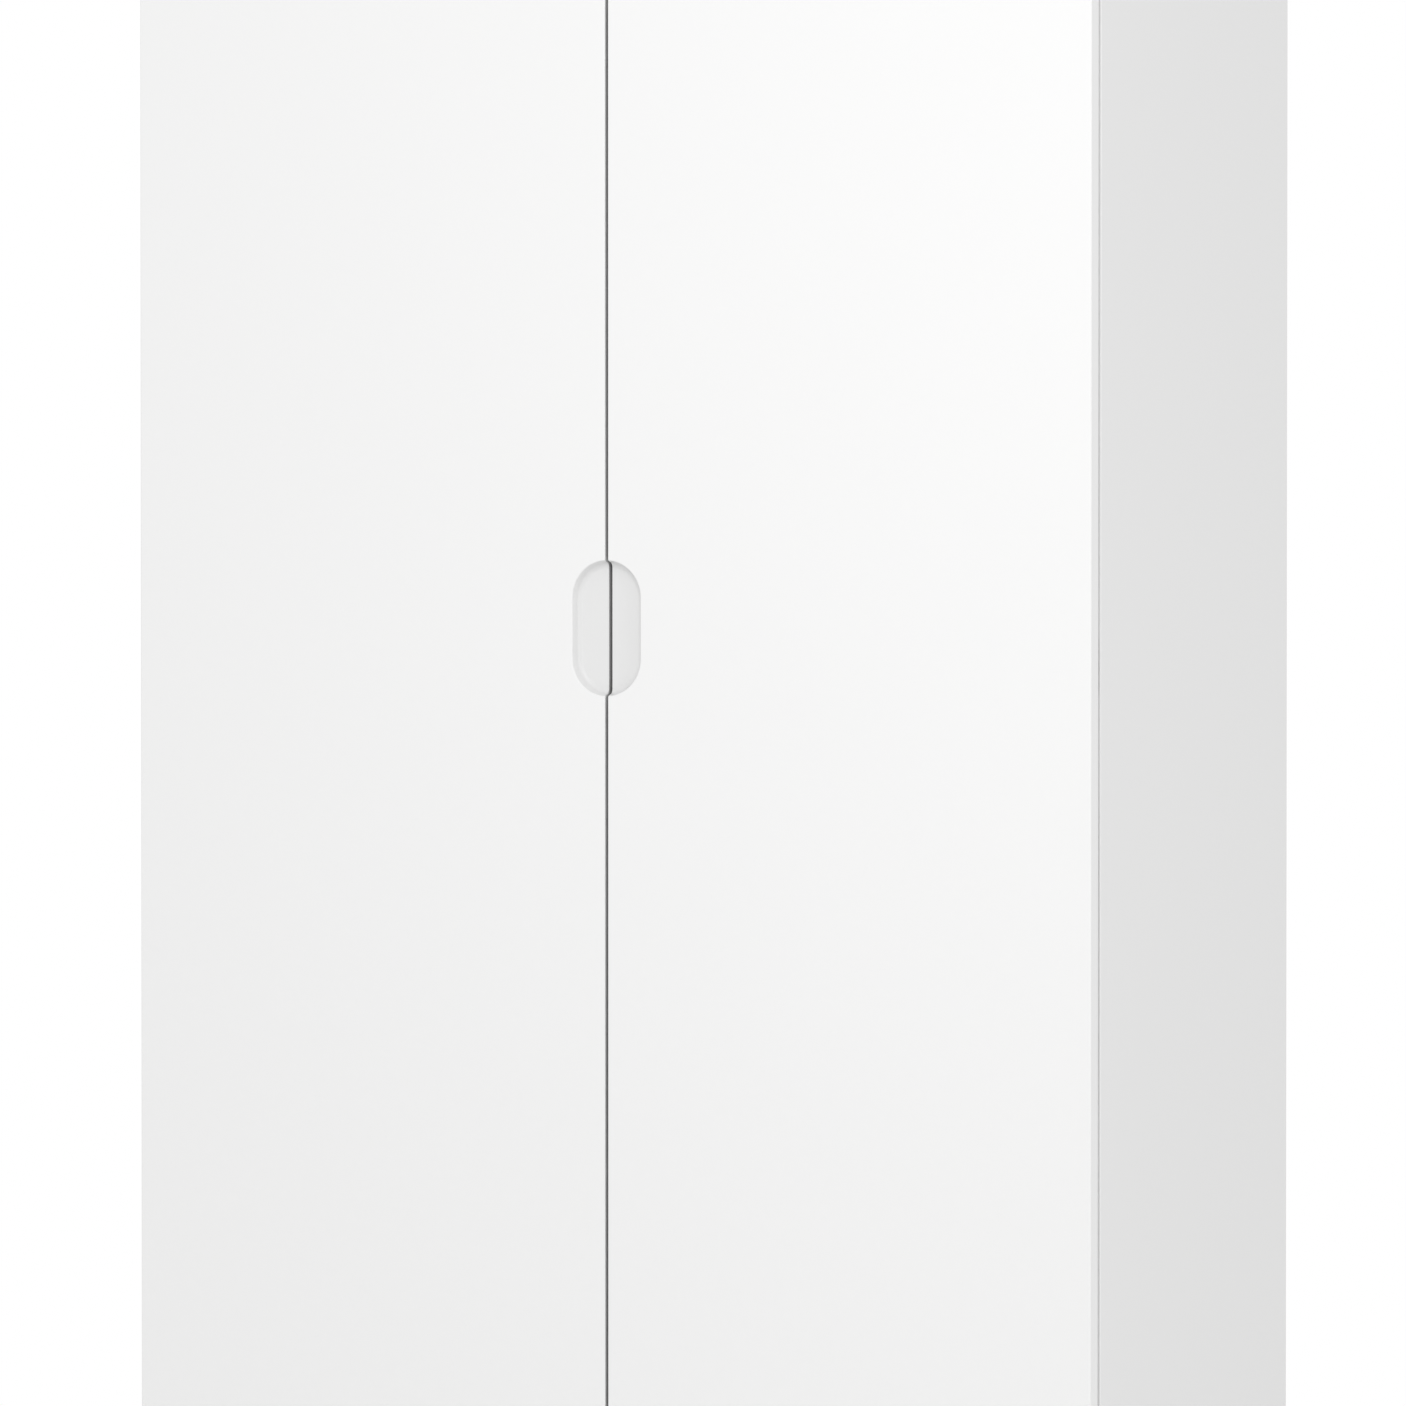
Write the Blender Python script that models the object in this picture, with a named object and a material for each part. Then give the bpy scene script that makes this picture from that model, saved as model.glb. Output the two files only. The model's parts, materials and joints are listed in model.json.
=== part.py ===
"""Two-door wardrobe: a flat-pack carcass, two plain doors that share one recessed finger pull,
and six concealed four-pivot cup hinges.

Metres, +Z up. X runs across the width, the doors face -Y, and the origin is on the floor under the
middle of the closed wardrobe. Hinges are drawn once, in hinge coordinates: u runs inwards from the
door's outer edge, v runs back from the front edge of the carcass, and w is the height from the
middle of the hinge. The right-hand hinges are mirrored copies.
"""
import math

import bmesh
import bpy
from mathutils import Matrix, Vector

# Driving dimensions of the cabinet
WIDTH = 0.980
DEPTH = 0.510                 # closed doors included
HEIGHT = 1.900
PANEL = 0.018                 # carcass board
DOOR_THICKNESS = 0.019
DOOR_REVEAL = 0.001           # carcass side seen beyond the door's outer edge
DOOR_END_GAP = 0.002          # door stops short of the plinth line and of the top
DOOR_STANDOFF = 0.003         # bumper gap behind a closed door
SEAM = 0.003                  # gap between the two doors
EDGE_RADIUS = 0.0010          # softened edges of doors and boards
FIT = 0.0003                  # gap kept between touching pieces

# Carcass layout
GLIDE_HEIGHT = 0.005
GLIDE_RADIUS = 0.008
GLIDE_INSET = 0.045
GLIDE_TAPER = 0.86            # radius on the floor, as a share of the radius above
PLINTH_HEIGHT = 0.070
PLINTH_SETBACK = 0.030
BACK_THICKNESS = 0.003
BACK_MARGIN = 0.003           # the back boards stop short of the carcass edges
STRIP_WIDTH = 0.024
STRIP_FLANGE = 0.001
STRIP_WEB = 0.001
SHELF_TOP = 1.580
SHELF_SETBACK = 0.020
RAIL_DROP = 0.055             # rail centre below the hat shelf
RAIL_SIZE = (0.015, 0.030)    # oval tube: thickness, height
RAIL_WALL = 0.0012
SOCKET_DEPTH = 0.012
SOCKET_WALL = 0.0025
SOCKET_EARS = (0.006, 0.022)  # the socket's plate is larger than its cup by this
PIN_RADIUS = 0.0025
PIN_IN_BOARD = 0.010
PIN_STEM_OUT = 0.004
PIN_LEDGE = (0.012, 0.014, 0.0022)
PIN_ROW_INSET = 0.070

# Finger pull: a stadium sunk into both doors, split by the seam
PULL_CENTRE_HEIGHT = 1.020
PULL_WIDTH = 0.070
PULL_HEIGHT = 0.127
PULL_DEPTH = 0.010
PULL_DRAFT = 0.0015           # how far the wall leans in over its depth
PULL_LIP = 0.0008             # flare where the recess meets the door's face
PULL_HEEL = 0.0020            # rounding where its wall meets its floor
PULL_ARC_STEPS = 16

# Stops behind the doors
BUMPER_RADIUS = 0.004
BUMPER_TAPER = 0.72
BUMPER_INSET = 0.020          # from the seam edge of the door

# Concealed hinge, in hinge coordinates
CUP_RADIUS = 0.0175
CUP_CENTRE_U = 0.0205
CUP_DEPTH = 0.0115
CUP_WALL = 0.0010
CUP_SEGMENTS = 28
FLANGE_THICKNESS = 0.0008
FLANGE_HALF_HEIGHT = 0.030
FLANGE_OUTLINE = (            # u and w
    (0.0060, -FLANGE_HALF_HEIGHT), (0.0250, -FLANGE_HALF_HEIGHT), (0.0385, -0.012), (0.0385, 0.012),
    (0.0250, FLANGE_HALF_HEIGHT), (0.0060, FLANGE_HALF_HEIGHT), (0.0012, 0.020), (0.0012, -0.020))
LONG_ARM_PIVOT = (0.0430, 0.0071)
LONG_CUP_PIVOT = (0.0165, -0.0043)
SHORT_ARM_PIVOT = (0.0282, -0.0102)
SHORT_CUP_PIVOT = (0.0175, -0.0090)
PIVOT_RADIUS = 0.0009
PIVOT_PLAY = 0.0002
OPEN_PIVOT_SLACK = 0.0009     # the short link's cup eye is loose on its pin
LONG_LAYER = (-0.0062, -0.0025)   # the plates of a hinge lie on top of each other, heights w
ARM_LAYER = (-0.0022, 0.0022)
SHORT_LAYER = (0.0025, 0.0060)
LAYER_GAP = 0.0003
ARM_BODY_HALF = 0.0070
ARM_BEND = ((0.0340, -0.0096), (0.0344, -0.0014), (0.0362, 0.0016))   # between the nose's two pivots
ARM_NOSE_HALF = 0.0013
ARM_KNUCKLE_RADIUS = 0.0021
ARM_NECK = ((0.0400, 0.0170), (0.0330, 0.0260))
ARM_NECK_HALF = 0.0028
ARM_EYE_RADIUS = 0.0030
ARM_BODY_OUTLINE = (          # u and v
    (0.0400, 0.0150), (0.0400, 0.0200), (0.0310, 0.0300), (0.0285, 0.0580), (0.0202, 0.0580),
    (0.0202, 0.0240), (0.0300, 0.0200))
LINK_HALF_WIDTH = 0.0014
LONG_LINK_BOW = (0.0290, -0.0006)
LONG_LINK_EYES = (0.0020, 0.0023)     # outer radii at the cup and at the arm
SHORT_LINK_EYE = 0.0019
OPEN_EYE_WALL = 0.0007
PLATE_THICKNESS = 0.0028
PLATE_WINGS = (0.0300, 0.0440, 0.0240)    # v from, v to, half height
PLATE_SPINE = (0.0205, 0.0620, 0.0085)
PLATE_RADIUS = 0.0008
PIN_SEGMENTS = 8
EYE_SEGMENTS = 12
HINGE_END_DISTANCE = 0.100    # outer hinges from the door's ends

# Places worked out from the driving dimensions
FRONT = -DEPTH / 2
BACK = DEPTH / 2
CARCASS_FRONT = FRONT + DOOR_THICKNESS + DOOR_STANDOFF
INNER_HALF = WIDTH / 2 - PANEL
DOOR_EDGE = WIDTH / 2 - DOOR_REVEAL
DOOR_BOTTOM = PLINTH_HEIGHT + DOOR_END_GAP
DOOR_TOP = HEIGHT - DOOR_END_GAP
BACK_OUTER = BACK - STRIP_FLANGE - FIT
BACK_INNER = BACK_OUTER - BACK_THICKNESS
BOARD_BACK = BACK_INNER - FIT
FLOOR_TOP = PLINTH_HEIGHT + PANEL
ROOF_BOTTOM = HEIGHT - PANEL
SIDE_U = PANEL - DOOR_REVEAL  # inner face of a carcass side, in hinge coordinates
HINGE_HEIGHTS = {
    "bottom": DOOR_BOTTOM + HINGE_END_DISTANCE,
    "middle": (DOOR_BOTTOM + DOOR_TOP) / 2,
    "top": DOOR_TOP - HINGE_END_DISTANCE,
}
SIDES = {"left": -1, "right": 1}


# ---------------------------------------------------------------- mesh building

def new_mesh(name, bm):
    """Turn a bmesh into a mesh with outward faces."""
    bmesh.ops.recalc_face_normals(bm, faces=bm.faces)
    mesh = bpy.data.meshes.new(name)
    bm.to_mesh(mesh)
    bm.free()
    return mesh


def box(low, high, radius=0.0, segments=2):
    """A box between two corners, its edges rounded when a radius is given."""
    low, high = Vector(low), Vector(high)
    bm = bmesh.new()
    bmesh.ops.create_cube(bm, size=1.0)
    bmesh.ops.scale(bm, vec=high - low, verts=bm.verts)
    bmesh.ops.translate(bm, vec=(low + high) / 2, verts=bm.verts)
    if radius:
        bmesh.ops.bevel(bm, geom=bm.edges[:], offset=radius, segments=segments, profile=0.5, affect="EDGES")
    return new_mesh("box", bm)


def prism(outline, low, high):
    """A flat outline in X and Y, extruded from one height to another."""
    bm = bmesh.new()
    face = bm.faces.new([bm.verts.new((x, y, low)) for x, y in outline])
    raised = bmesh.ops.extrude_face_region(bm, geom=[face])["geom"]
    top = [item for item in raised if isinstance(item, bmesh.types.BMVert)]
    bmesh.ops.translate(bm, vec=(0, 0, high - low), verts=top)
    return new_mesh("prism", bm)


def rod(centre, radius, low, high, segments=12, axis="Z"):
    """A round rod along one axis; centre holds the other two coordinates."""
    bm = bmesh.new()
    bmesh.ops.create_cone(bm, cap_ends=True, segments=segments, radius1=radius, radius2=radius,
                          depth=high - low)
    middle = (low + high) / 2
    if axis == "Z":
        standing = Matrix.Translation((centre[0], centre[1], middle))
    elif axis == "Y":
        standing = Matrix.Translation((centre[0], middle, centre[1])) @ Matrix.Rotation(math.pi / 2, 4, "X")
    else:
        standing = Matrix.Translation((middle, centre[0], centre[1])) @ Matrix.Rotation(math.pi / 2, 4, "Y")
    bmesh.ops.transform(bm, matrix=standing, verts=bm.verts)
    return new_mesh("rod", bm)


def loft(rings):
    """A closed skin over a stack of rings that all have the same number of points."""
    bm = bmesh.new()
    loops = [[bm.verts.new(point) for point in ring] for ring in rings]
    for lower, upper in zip(loops, loops[1:]):
        for i in range(len(lower)):
            j = (i + 1) % len(lower)
            bm.faces.new((lower[i], lower[j], upper[j], upper[i]))
    bm.faces.new(loops[0])
    bm.faces.new(loops[-1])
    return new_mesh("loft", bm)


def band(points, half_width):
    """The outline of a strip of constant width that follows a bent line."""
    points = [Vector(point) for point in points]
    left, right = [], []
    for i, point in enumerate(points):
        before = (point - points[i - 1]).normalized() if i else None
        after = (points[i + 1] - point).normalized() if i + 1 < len(points) else None
        along = ((before or after) + (after or before)).normalized()
        across = Vector((-along.y, along.x))
        stretch = half_width / max(0.5, along.dot(after or before))
        left.append(point + across * stretch)
        right.append(point - across * stretch)
    return left + right[::-1]


def stadium(half_width, half_height, steps):
    """Points of an upright stadium in X and Z, anticlockwise from the right."""
    straight = half_height - half_width
    points = []
    for centre, start in ((straight, 0.0), (-straight, math.pi)):
        for i in range(steps + 1):
            angle = start + math.pi * i / steps
            points.append((half_width * math.cos(angle), centre + half_width * math.sin(angle)))
    return points


def carve(name, base, add=(), cut=()):
    """Join closed meshes to a base, then cut others from it, and return the finished mesh."""
    work = bpy.data.objects.new(name, base)
    bpy.context.collection.objects.link(work)
    helpers = []
    for operation, meshes in (("UNION", add), ("DIFFERENCE", cut)):
        for mesh in meshes:
            tool = bpy.data.objects.new(name + "_tool", mesh)
            bpy.context.collection.objects.link(tool)
            modifier = work.modifiers.new("Boolean", "BOOLEAN")
            modifier.operation = operation
            modifier.object = tool
            helpers.append(tool)
    depsgraph = bpy.context.evaluated_depsgraph_get()
    mesh = bpy.data.meshes.new_from_object(work.evaluated_get(depsgraph))
    for helper in helpers + [work]:
        bpy.data.objects.remove(helper)
    mesh.name = name
    return mesh


def moved(mesh, offset):
    """A copy of a mesh shifted by an offset."""
    copy = mesh.copy()
    copy.transform(Matrix.Translation(offset))
    return copy


def mirrored(mesh):
    """A copy of a mesh mirrored across X = 0, faces still outwards."""
    copy = mesh.copy()
    copy.transform(Matrix.Scale(-1, 4, (1, 0, 0)))
    copy.flip_normals()
    return copy


# ---------------------------------------------------------------- materials and objects

def finish(name, color, roughness, metallic=0.0):
    """A plain Principled material."""
    material = bpy.data.materials.new(name)
    material.use_nodes = True
    shader = material.node_tree.nodes["Principled BSDF"]
    shader.inputs["Base Color"].default_value = (*color, 1.0)
    shader.inputs["Roughness"].default_value = roughness
    shader.inputs["Metallic"].default_value = metallic
    material.diffuse_color = (*color, 1.0)
    return material


def place(name, mesh, material, location=(0, 0, 0), parent=None, smooth=False):
    """Make the object for one piece; its location is measured from its parent's."""
    mesh.materials.clear()
    mesh.materials.append(material)
    if smooth:
        mesh.shade_smooth()
        mesh.set_sharp_from_angle(angle=math.radians(35))
    piece = bpy.data.objects.new(name, mesh)
    piece.location = location
    piece.parent = parent
    bpy.context.collection.objects.link(piece)
    return piece


def pivot(name, location, parent=None):
    """An empty on a joint's axis."""
    empty = bpy.data.objects.new(name, None)
    empty.location = location
    empty.parent = parent
    bpy.context.collection.objects.link(empty)
    return empty


# ---------------------------------------------------------------- carcass

def build_sides(board):
    """The two carcass sides, each bored for the two pins that hold the hat shelf."""
    for side, sign in SIDES.items():
        outer, inner = sign * WIDTH / 2, sign * INNER_HALF
        panel = box((min(outer, inner), CARCASS_FRONT, GLIDE_HEIGHT + FIT),
                    (max(outer, inner), BACK_INNER - FIT, HEIGHT), EDGE_RADIUS)
        reach = sorted((inner - sign * 0.001, inner + sign * (PIN_IN_BOARD + FIT)))
        bores = [rod((y, pin_height()), PIN_RADIUS + FIT, *reach, axis="X") for y in shelf_pin_rows()]
        place(side + "_side_panel", carve(side + "_side_panel", panel, cut=bores), board)


def shelf_pin_rows():
    """Where the shelf pins stand, front and back."""
    return (CARCASS_FRONT + PIN_ROW_INSET, BOARD_BACK - PIN_ROW_INSET)


def pin_height():
    """Height of the shelf pins' axis: their ledges lie just under the hat shelf."""
    return SHELF_TOP - PANEL - FIT - PIN_LEDGE[2] - PIN_RADIUS


def build_boards(board):
    """Top, bottom and hat shelf between the sides, and the two plinth boards under the bottom."""
    half = INNER_HALF - FIT
    place("top_panel", box((-half, CARCASS_FRONT, ROOF_BOTTOM), (half, BOARD_BACK, HEIGHT),
                           EDGE_RADIUS), board)
    place("bottom_panel", box((-half, CARCASS_FRONT, PLINTH_HEIGHT), (half, BOARD_BACK, FLOOR_TOP),
                              EDGE_RADIUS), board)
    shelf_back = BACK_INNER - FIT - STRIP_FLANGE - FIT
    place("hat_shelf", box((-half, CARCASS_FRONT + SHELF_SETBACK, SHELF_TOP - PANEL),
                           (half, shelf_back, SHELF_TOP), EDGE_RADIUS), board)
    plinths = {"front": CARCASS_FRONT + PLINTH_SETBACK, "rear": BOARD_BACK - PANEL - PLINTH_SETBACK}
    for end, y in plinths.items():
        place("plinth_" + end, box((-half, y, GLIDE_HEIGHT), (half, y + PANEL, PLINTH_HEIGHT - FIT),
                                   EDGE_RADIUS), board)


def build_back(hardboard, plastic):
    """Two thin back boards and the H-shaped strip that joins them."""
    low, high = PLINTH_HEIGHT + BACK_MARGIN, HEIGHT - BACK_MARGIN
    web = STRIP_WEB / 2
    for side, sign in SIDES.items():
        ends = sorted((sign * (web + FIT), sign * (WIDTH / 2 - BACK_MARGIN)))
        place("back_panel_" + side, box((ends[0], BACK_INNER, low), (ends[1], BACK_OUTER, high)), hardboard)
    flange = STRIP_WIDTH / 2
    inner = BACK_INNER - FIT
    outer = BACK_OUTER + FIT
    outline = [(-flange, inner - STRIP_FLANGE), (flange, inner - STRIP_FLANGE), (flange, inner),
               (web, inner), (web, outer), (flange, outer), (flange, outer + STRIP_FLANGE),
               (-flange, outer + STRIP_FLANGE), (-flange, outer), (-web, outer), (-web, inner),
               (-flange, inner)]
    place("back_joint_strip", prism(outline, FLOOR_TOP + FIT, ROOF_BOTTOM - FIT), plastic)


def build_glides(plastic):
    """A round glide under each end of both sides."""
    for side, sign in SIDES.items():
        for end, y in (("front", CARCASS_FRONT + GLIDE_INSET), ("rear", BOARD_BACK - GLIDE_INSET)):
            bm = bmesh.new()
            bmesh.ops.create_cone(bm, cap_ends=True, segments=20, radius1=GLIDE_RADIUS * GLIDE_TAPER,
                                  radius2=GLIDE_RADIUS, depth=GLIDE_HEIGHT)
            place("foot_glide_%s_%s" % (side, end), new_mesh("glide", bm), plastic,
                  (sign * (WIDTH - PANEL) / 2, y, GLIDE_HEIGHT / 2))


def oval(width, height, steps=8):
    """An upright oval outline for the rail, as X and Y pairs of a flat drawing."""
    return stadium(width / 2, height / 2, steps)


def build_rail(chrome, steel):
    """An oval tube that hangs clothes, held in an open-topped socket on each side."""
    height = SHELF_TOP - PANEL - RAIL_DROP
    end = INNER_HALF - FIT - SOCKET_WALL - FIT
    upright = Matrix.Rotation(math.pi / 2, 4, "Z") @ Matrix.Rotation(math.pi / 2, 4, "X")
    core = (RAIL_SIZE[0] - 2 * RAIL_WALL, RAIL_SIZE[1] - 2 * RAIL_WALL)
    tube = carve("rail", prism(oval(*RAIL_SIZE), -end, end), cut=[prism(oval(*core), -1.0, 1.0)])
    tube.transform(upright)
    place("hanging_rail", tube, chrome, (0, 0, height), smooth=True)
    pocket = (RAIL_SIZE[0] + 2 * FIT, RAIL_SIZE[1] + 2 * FIT)
    shell = (pocket[0] + 2 * SOCKET_WALL, pocket[1] + 2 * SOCKET_WALL)
    plate = (shell[0] + SOCKET_EARS[0], shell[1] + SOCKET_EARS[1])
    cup = carve("socket", prism(oval(*plate), 0, SOCKET_WALL),
                add=[prism(oval(*shell), SOCKET_WALL / 2, SOCKET_DEPTH)],
                cut=[prism(oval(*pocket), SOCKET_WALL, 1.0)])
    cup.transform(upright)
    for side, sign in SIDES.items():
        mesh = cup.copy() if sign < 0 else mirrored(cup)
        place("rail_socket_" + side, mesh, steel, (sign * (INNER_HALF - FIT), 0, height), smooth=True)


def build_shelf_pins(steel):
    """Four pins bored into the sides, each with a flat ledge under the hat shelf."""
    length, width, thickness = PIN_LEDGE
    stem = rod((0, 0), PIN_RADIUS, -PIN_IN_BOARD, PIN_STEM_OUT, axis="X")
    ledge = box((FIT, -width / 2, PIN_RADIUS - 0.001), (length, width / 2, PIN_RADIUS + thickness))
    shape = carve("pin", ledge, add=[stem])
    for side, sign in SIDES.items():
        for end, y in zip(("front", "rear"), shelf_pin_rows()):
            mesh = shape.copy() if sign < 0 else mirrored(shape)
            place("shelf_pin_%s_%s" % (side, end), mesh, steel, (sign * INNER_HALF, y, pin_height()))


# ---------------------------------------------------------------- doors

def pull_cutter():
    """The stadium recess: flared at the face, leaning in with depth, rounded at its floor."""
    half_width, half_height = PULL_WIDTH / 2, PULL_HEIGHT / 2
    profile = [(-0.002, PULL_LIP), (0.0, PULL_LIP), (PULL_LIP, 0.0)]
    for i in range(4):
        angle = math.pi / 2 * i / 3
        profile.append((PULL_DEPTH - PULL_HEEL * (1 - math.sin(angle)),
                        -PULL_DRAFT - PULL_HEEL * (1 - math.cos(angle))))
    rings = []
    for depth, grow in profile:
        outline = stadium(half_width + grow, half_height + grow, PULL_ARC_STEPS)
        rings.append([(x, FRONT + depth, PULL_CENTRE_HEIGHT + z) for x, z in outline])
    return loft(rings)


def build_door(side, sign, door_pivot, lacquer):
    """One door with its half of the finger pull and the bores for its hinge cups."""
    ends = sorted((sign * SEAM / 2, sign * DOOR_EDGE))
    panel = box((ends[0], FRONT, DOOR_BOTTOM), (ends[1], FRONT + DOOR_THICKNESS, DOOR_TOP), EDGE_RADIUS, 3)
    inner_face = FRONT + DOOR_THICKNESS
    bores = [rod((sign * (DOOR_EDGE - CUP_CENTRE_U), height), CUP_RADIUS + FIT,
                 inner_face - CUP_DEPTH - FIT, inner_face + 0.002, CUP_SEGMENTS, "Y")
             for height in HINGE_HEIGHTS.values()]
    mesh = carve(side + "_door_panel", panel, cut=[pull_cutter()] + bores)
    offset = door_pivot.matrix_world.translation
    place(side + "_door_panel", moved(mesh, -offset), lacquer, parent=door_pivot)


def build_bumpers(side, sign, door_pivot, clear):
    """Soft domed stops behind the door's free corners."""
    thickness = DOOR_STANDOFF - 2 * FIT
    x = sign * (SEAM / 2 + BUMPER_INSET)
    for end, z in (("bottom", (PLINTH_HEIGHT + FLOOR_TOP) / 2), ("top", (ROOF_BOTTOM + HEIGHT) / 2)):
        bm = bmesh.new()
        bmesh.ops.create_cone(bm, cap_ends=True, segments=16, radius1=BUMPER_RADIUS,
                              radius2=BUMPER_RADIUS * BUMPER_TAPER, depth=thickness)
        bmesh.ops.rotate(bm, matrix=Matrix.Rotation(-math.pi / 2, 3, "X"), verts=bm.verts)
        centre = Vector((x, FRONT + DOOR_THICKNESS + FIT + thickness / 2, z))
        place("door_bumper_%s_%s" % (side, end), new_mesh("bumper", bm), clear,
              centre - door_pivot.matrix_world.translation, door_pivot)


# ---------------------------------------------------------------- hinges

def cup_mesh():
    """The cup let into the door, its screw flange, and a stub pin on each side for one link."""
    face = -DOOR_STANDOFF
    rim = face + FIT + FLANGE_THICKNESS
    body = rod((CUP_CENTRE_U, 0), CUP_RADIUS, face - CUP_DEPTH, rim, CUP_SEGMENTS, "Y")
    flange = prism([(u, -w) for u, w in reversed(FLANGE_OUTLINE)], face + FIT, rim)
    flange.transform(Matrix(((1, 0, 0, 0), (0, 0, 1, 0), (0, -1, 0, 0), (0, 0, 0, 1))))
    hollow = rod((CUP_CENTRE_U, 0), CUP_RADIUS - CUP_WALL, face - CUP_DEPTH + CUP_WALL, 0.01,
                 CUP_SEGMENTS, "Y")
    shell = carve("cup_shell", body, add=[flange], cut=[hollow])
    root = CUP_RADIUS - CUP_WALL + FIT
    tip = ARM_LAYER[1] + LAYER_GAP / 2
    pins = [rod(LONG_CUP_PIVOT, PIVOT_RADIUS, -root, -tip, PIN_SEGMENTS),
            rod(SHORT_CUP_PIVOT, PIVOT_RADIUS, tip, root, PIN_SEGMENTS)]
    return carve("hinge_cup", shell, add=pins)


def arm_mesh():
    """The steel arm: a slim nose that enters the cup, a wide body, and a stub pin for each link."""
    nose = prism(band([SHORT_ARM_PIVOT, *ARM_BEND, LONG_ARM_PIVOT], ARM_NOSE_HALF), *ARM_LAYER)
    knuckle = rod(SHORT_ARM_PIVOT, ARM_KNUCKLE_RADIUS, *ARM_LAYER, EYE_SEGMENTS)
    neck = prism(band([LONG_ARM_PIVOT, *ARM_NECK], ARM_NECK_HALF), *ARM_LAYER)
    eye = rod(LONG_ARM_PIVOT, ARM_EYE_RADIUS, *ARM_LAYER, EYE_SEGMENTS)
    body = prism(ARM_BODY_OUTLINE, -ARM_BODY_HALF, ARM_BODY_HALF)
    pins = [rod(LONG_ARM_PIVOT, PIVOT_RADIUS, LONG_LAYER[0], 0, PIN_SEGMENTS),
            rod(SHORT_ARM_PIVOT, PIVOT_RADIUS, 0, SHORT_LAYER[1], PIN_SEGMENTS)]
    return carve("hinge_arm", nose, add=[knuckle, neck, eye, body] + pins)


def link_mesh(name, line, eyes, layer):
    """A plate link along a line; each eye is a pivot, its outer radius and its hole's radius."""
    plate = prism(band(line, LINK_HALF_WIDTH), *layer)
    rings = [rod(spot, outer, *layer, EYE_SEGMENTS) for spot, outer, hole in eyes]
    holes = [rod(spot, hole, layer[0] - 0.001, layer[1] + 0.001, EYE_SEGMENTS) for spot, outer, hole in eyes]
    return carve(name, plate, add=rings, cut=holes)


def long_link_mesh():
    """The bowed link under the arm's nose, from the arm to the cup's near pin."""
    hole = PIVOT_RADIUS + PIVOT_PLAY
    return link_mesh("long_link", [LONG_CUP_PIVOT, LONG_LINK_BOW, LONG_ARM_PIVOT],
                     [(LONG_CUP_PIVOT, LONG_LINK_EYES[0], hole), (LONG_ARM_PIVOT, LONG_LINK_EYES[1], hole)],
                     LONG_LAYER)


def short_link_mesh():
    """The short link over the arm's nose; its cup eye is the pivot left open."""
    loose = PIVOT_RADIUS + OPEN_PIVOT_SLACK
    return link_mesh("short_link", [SHORT_CUP_PIVOT, SHORT_ARM_PIVOT],
                     [(SHORT_CUP_PIVOT, loose + OPEN_EYE_WALL, loose),
                      (SHORT_ARM_PIVOT, SHORT_LINK_EYE, PIVOT_RADIUS + PIVOT_PLAY)], SHORT_LAYER)


def plate_mesh():
    """The cross-shaped mounting plate that the arm clips onto."""
    inner, outer = SIDE_U + FIT, SIDE_U + PLATE_THICKNESS
    bars = [box((inner, start, -half), (outer, end, half), PLATE_RADIUS)
            for start, end, half in (PLATE_SPINE, PLATE_WINGS)]
    return carve("hinge_plate", bars[0], add=bars[1:])


def hinge_place(sign, uv, height=0.0):
    """A point given in hinge coordinates, in the wardrobe's own."""
    return Vector((sign * (DOOR_EDGE - uv[0]), CARCASS_FRONT + uv[1], height))


def build_hinges(side, sign, door_pivot, nickel):
    """Three hinges on one side: plates and arms stay put, cups ride on the door, links turn."""
    shapes = {"hinge_cup": (cup_mesh(), (0, 0)), "hinge_arm": (arm_mesh(), (0, 0)),
              "hinge_plate": (plate_mesh(), (0, 0)), "long_link": (long_link_mesh(), LONG_ARM_PIVOT),
              "short_link": (short_link_mesh(), SHORT_ARM_PIVOT)}
    for kind, (mesh, origin) in shapes.items():
        local = moved(mesh, (-origin[0], -origin[1], 0))
        local = local if sign < 0 else mirrored(local)
        for level, height in HINGE_HEIGHTS.items():
            spot = hinge_place(sign, origin, height)
            parent = None
            if kind == "hinge_cup":
                parent = door_pivot
                spot = spot - door_pivot.matrix_world.translation
            place("%s_%s_%s" % (kind, side, level), local.copy(), nickel, spot, parent)


def build():
    """Clear the scene and make the whole wardrobe."""
    for item in list(bpy.data.objects):
        bpy.data.objects.remove(item)
    board = finish("carcass_white", (0.87, 0.87, 0.865), 0.42)
    lacquer = finish("door_white", (0.91, 0.91, 0.905), 0.22)
    hardboard = finish("back_white", (0.82, 0.82, 0.81), 0.55)
    plastic = finish("trim_plastic", (0.80, 0.80, 0.79), 0.45)
    clear = finish("bumper_clear", (0.86, 0.87, 0.88), 0.25)
    chrome = finish("rail_chrome", (0.80, 0.80, 0.82), 0.12, 1.0)
    nickel = finish("hinge_nickel", (0.66, 0.65, 0.63), 0.28, 1.0)
    build_sides(board)
    build_boards(board)
    build_back(hardboard, plastic)
    build_glides(plastic)
    build_rail(chrome, nickel)
    build_shelf_pins(nickel)
    for side, sign in SIDES.items():
        door_pivot = pivot(side + "_door_pivot", hinge_place(sign, LONG_CUP_PIVOT))
        bpy.context.view_layer.update()
        build_door(side, sign, door_pivot, lacquer)
        build_bumpers(side, sign, door_pivot, clear)
        build_hinges(side, sign, door_pivot, nickel)


build()
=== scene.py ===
"""Finishes for a two-door wardrobe: fine doors and boards, fittings, materials, light and camera.

Run as a script, it loads the wardrobe's frame and makes every piece through its operator. Sizes are
in metres, +Z is up and the doors face -Y.
"""
import json
import math

import bmesh
import bpy
from bpy.props import FloatProperty, FloatVectorProperty, IntProperty, PointerProperty
from mathutils import Matrix, Vector


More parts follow.
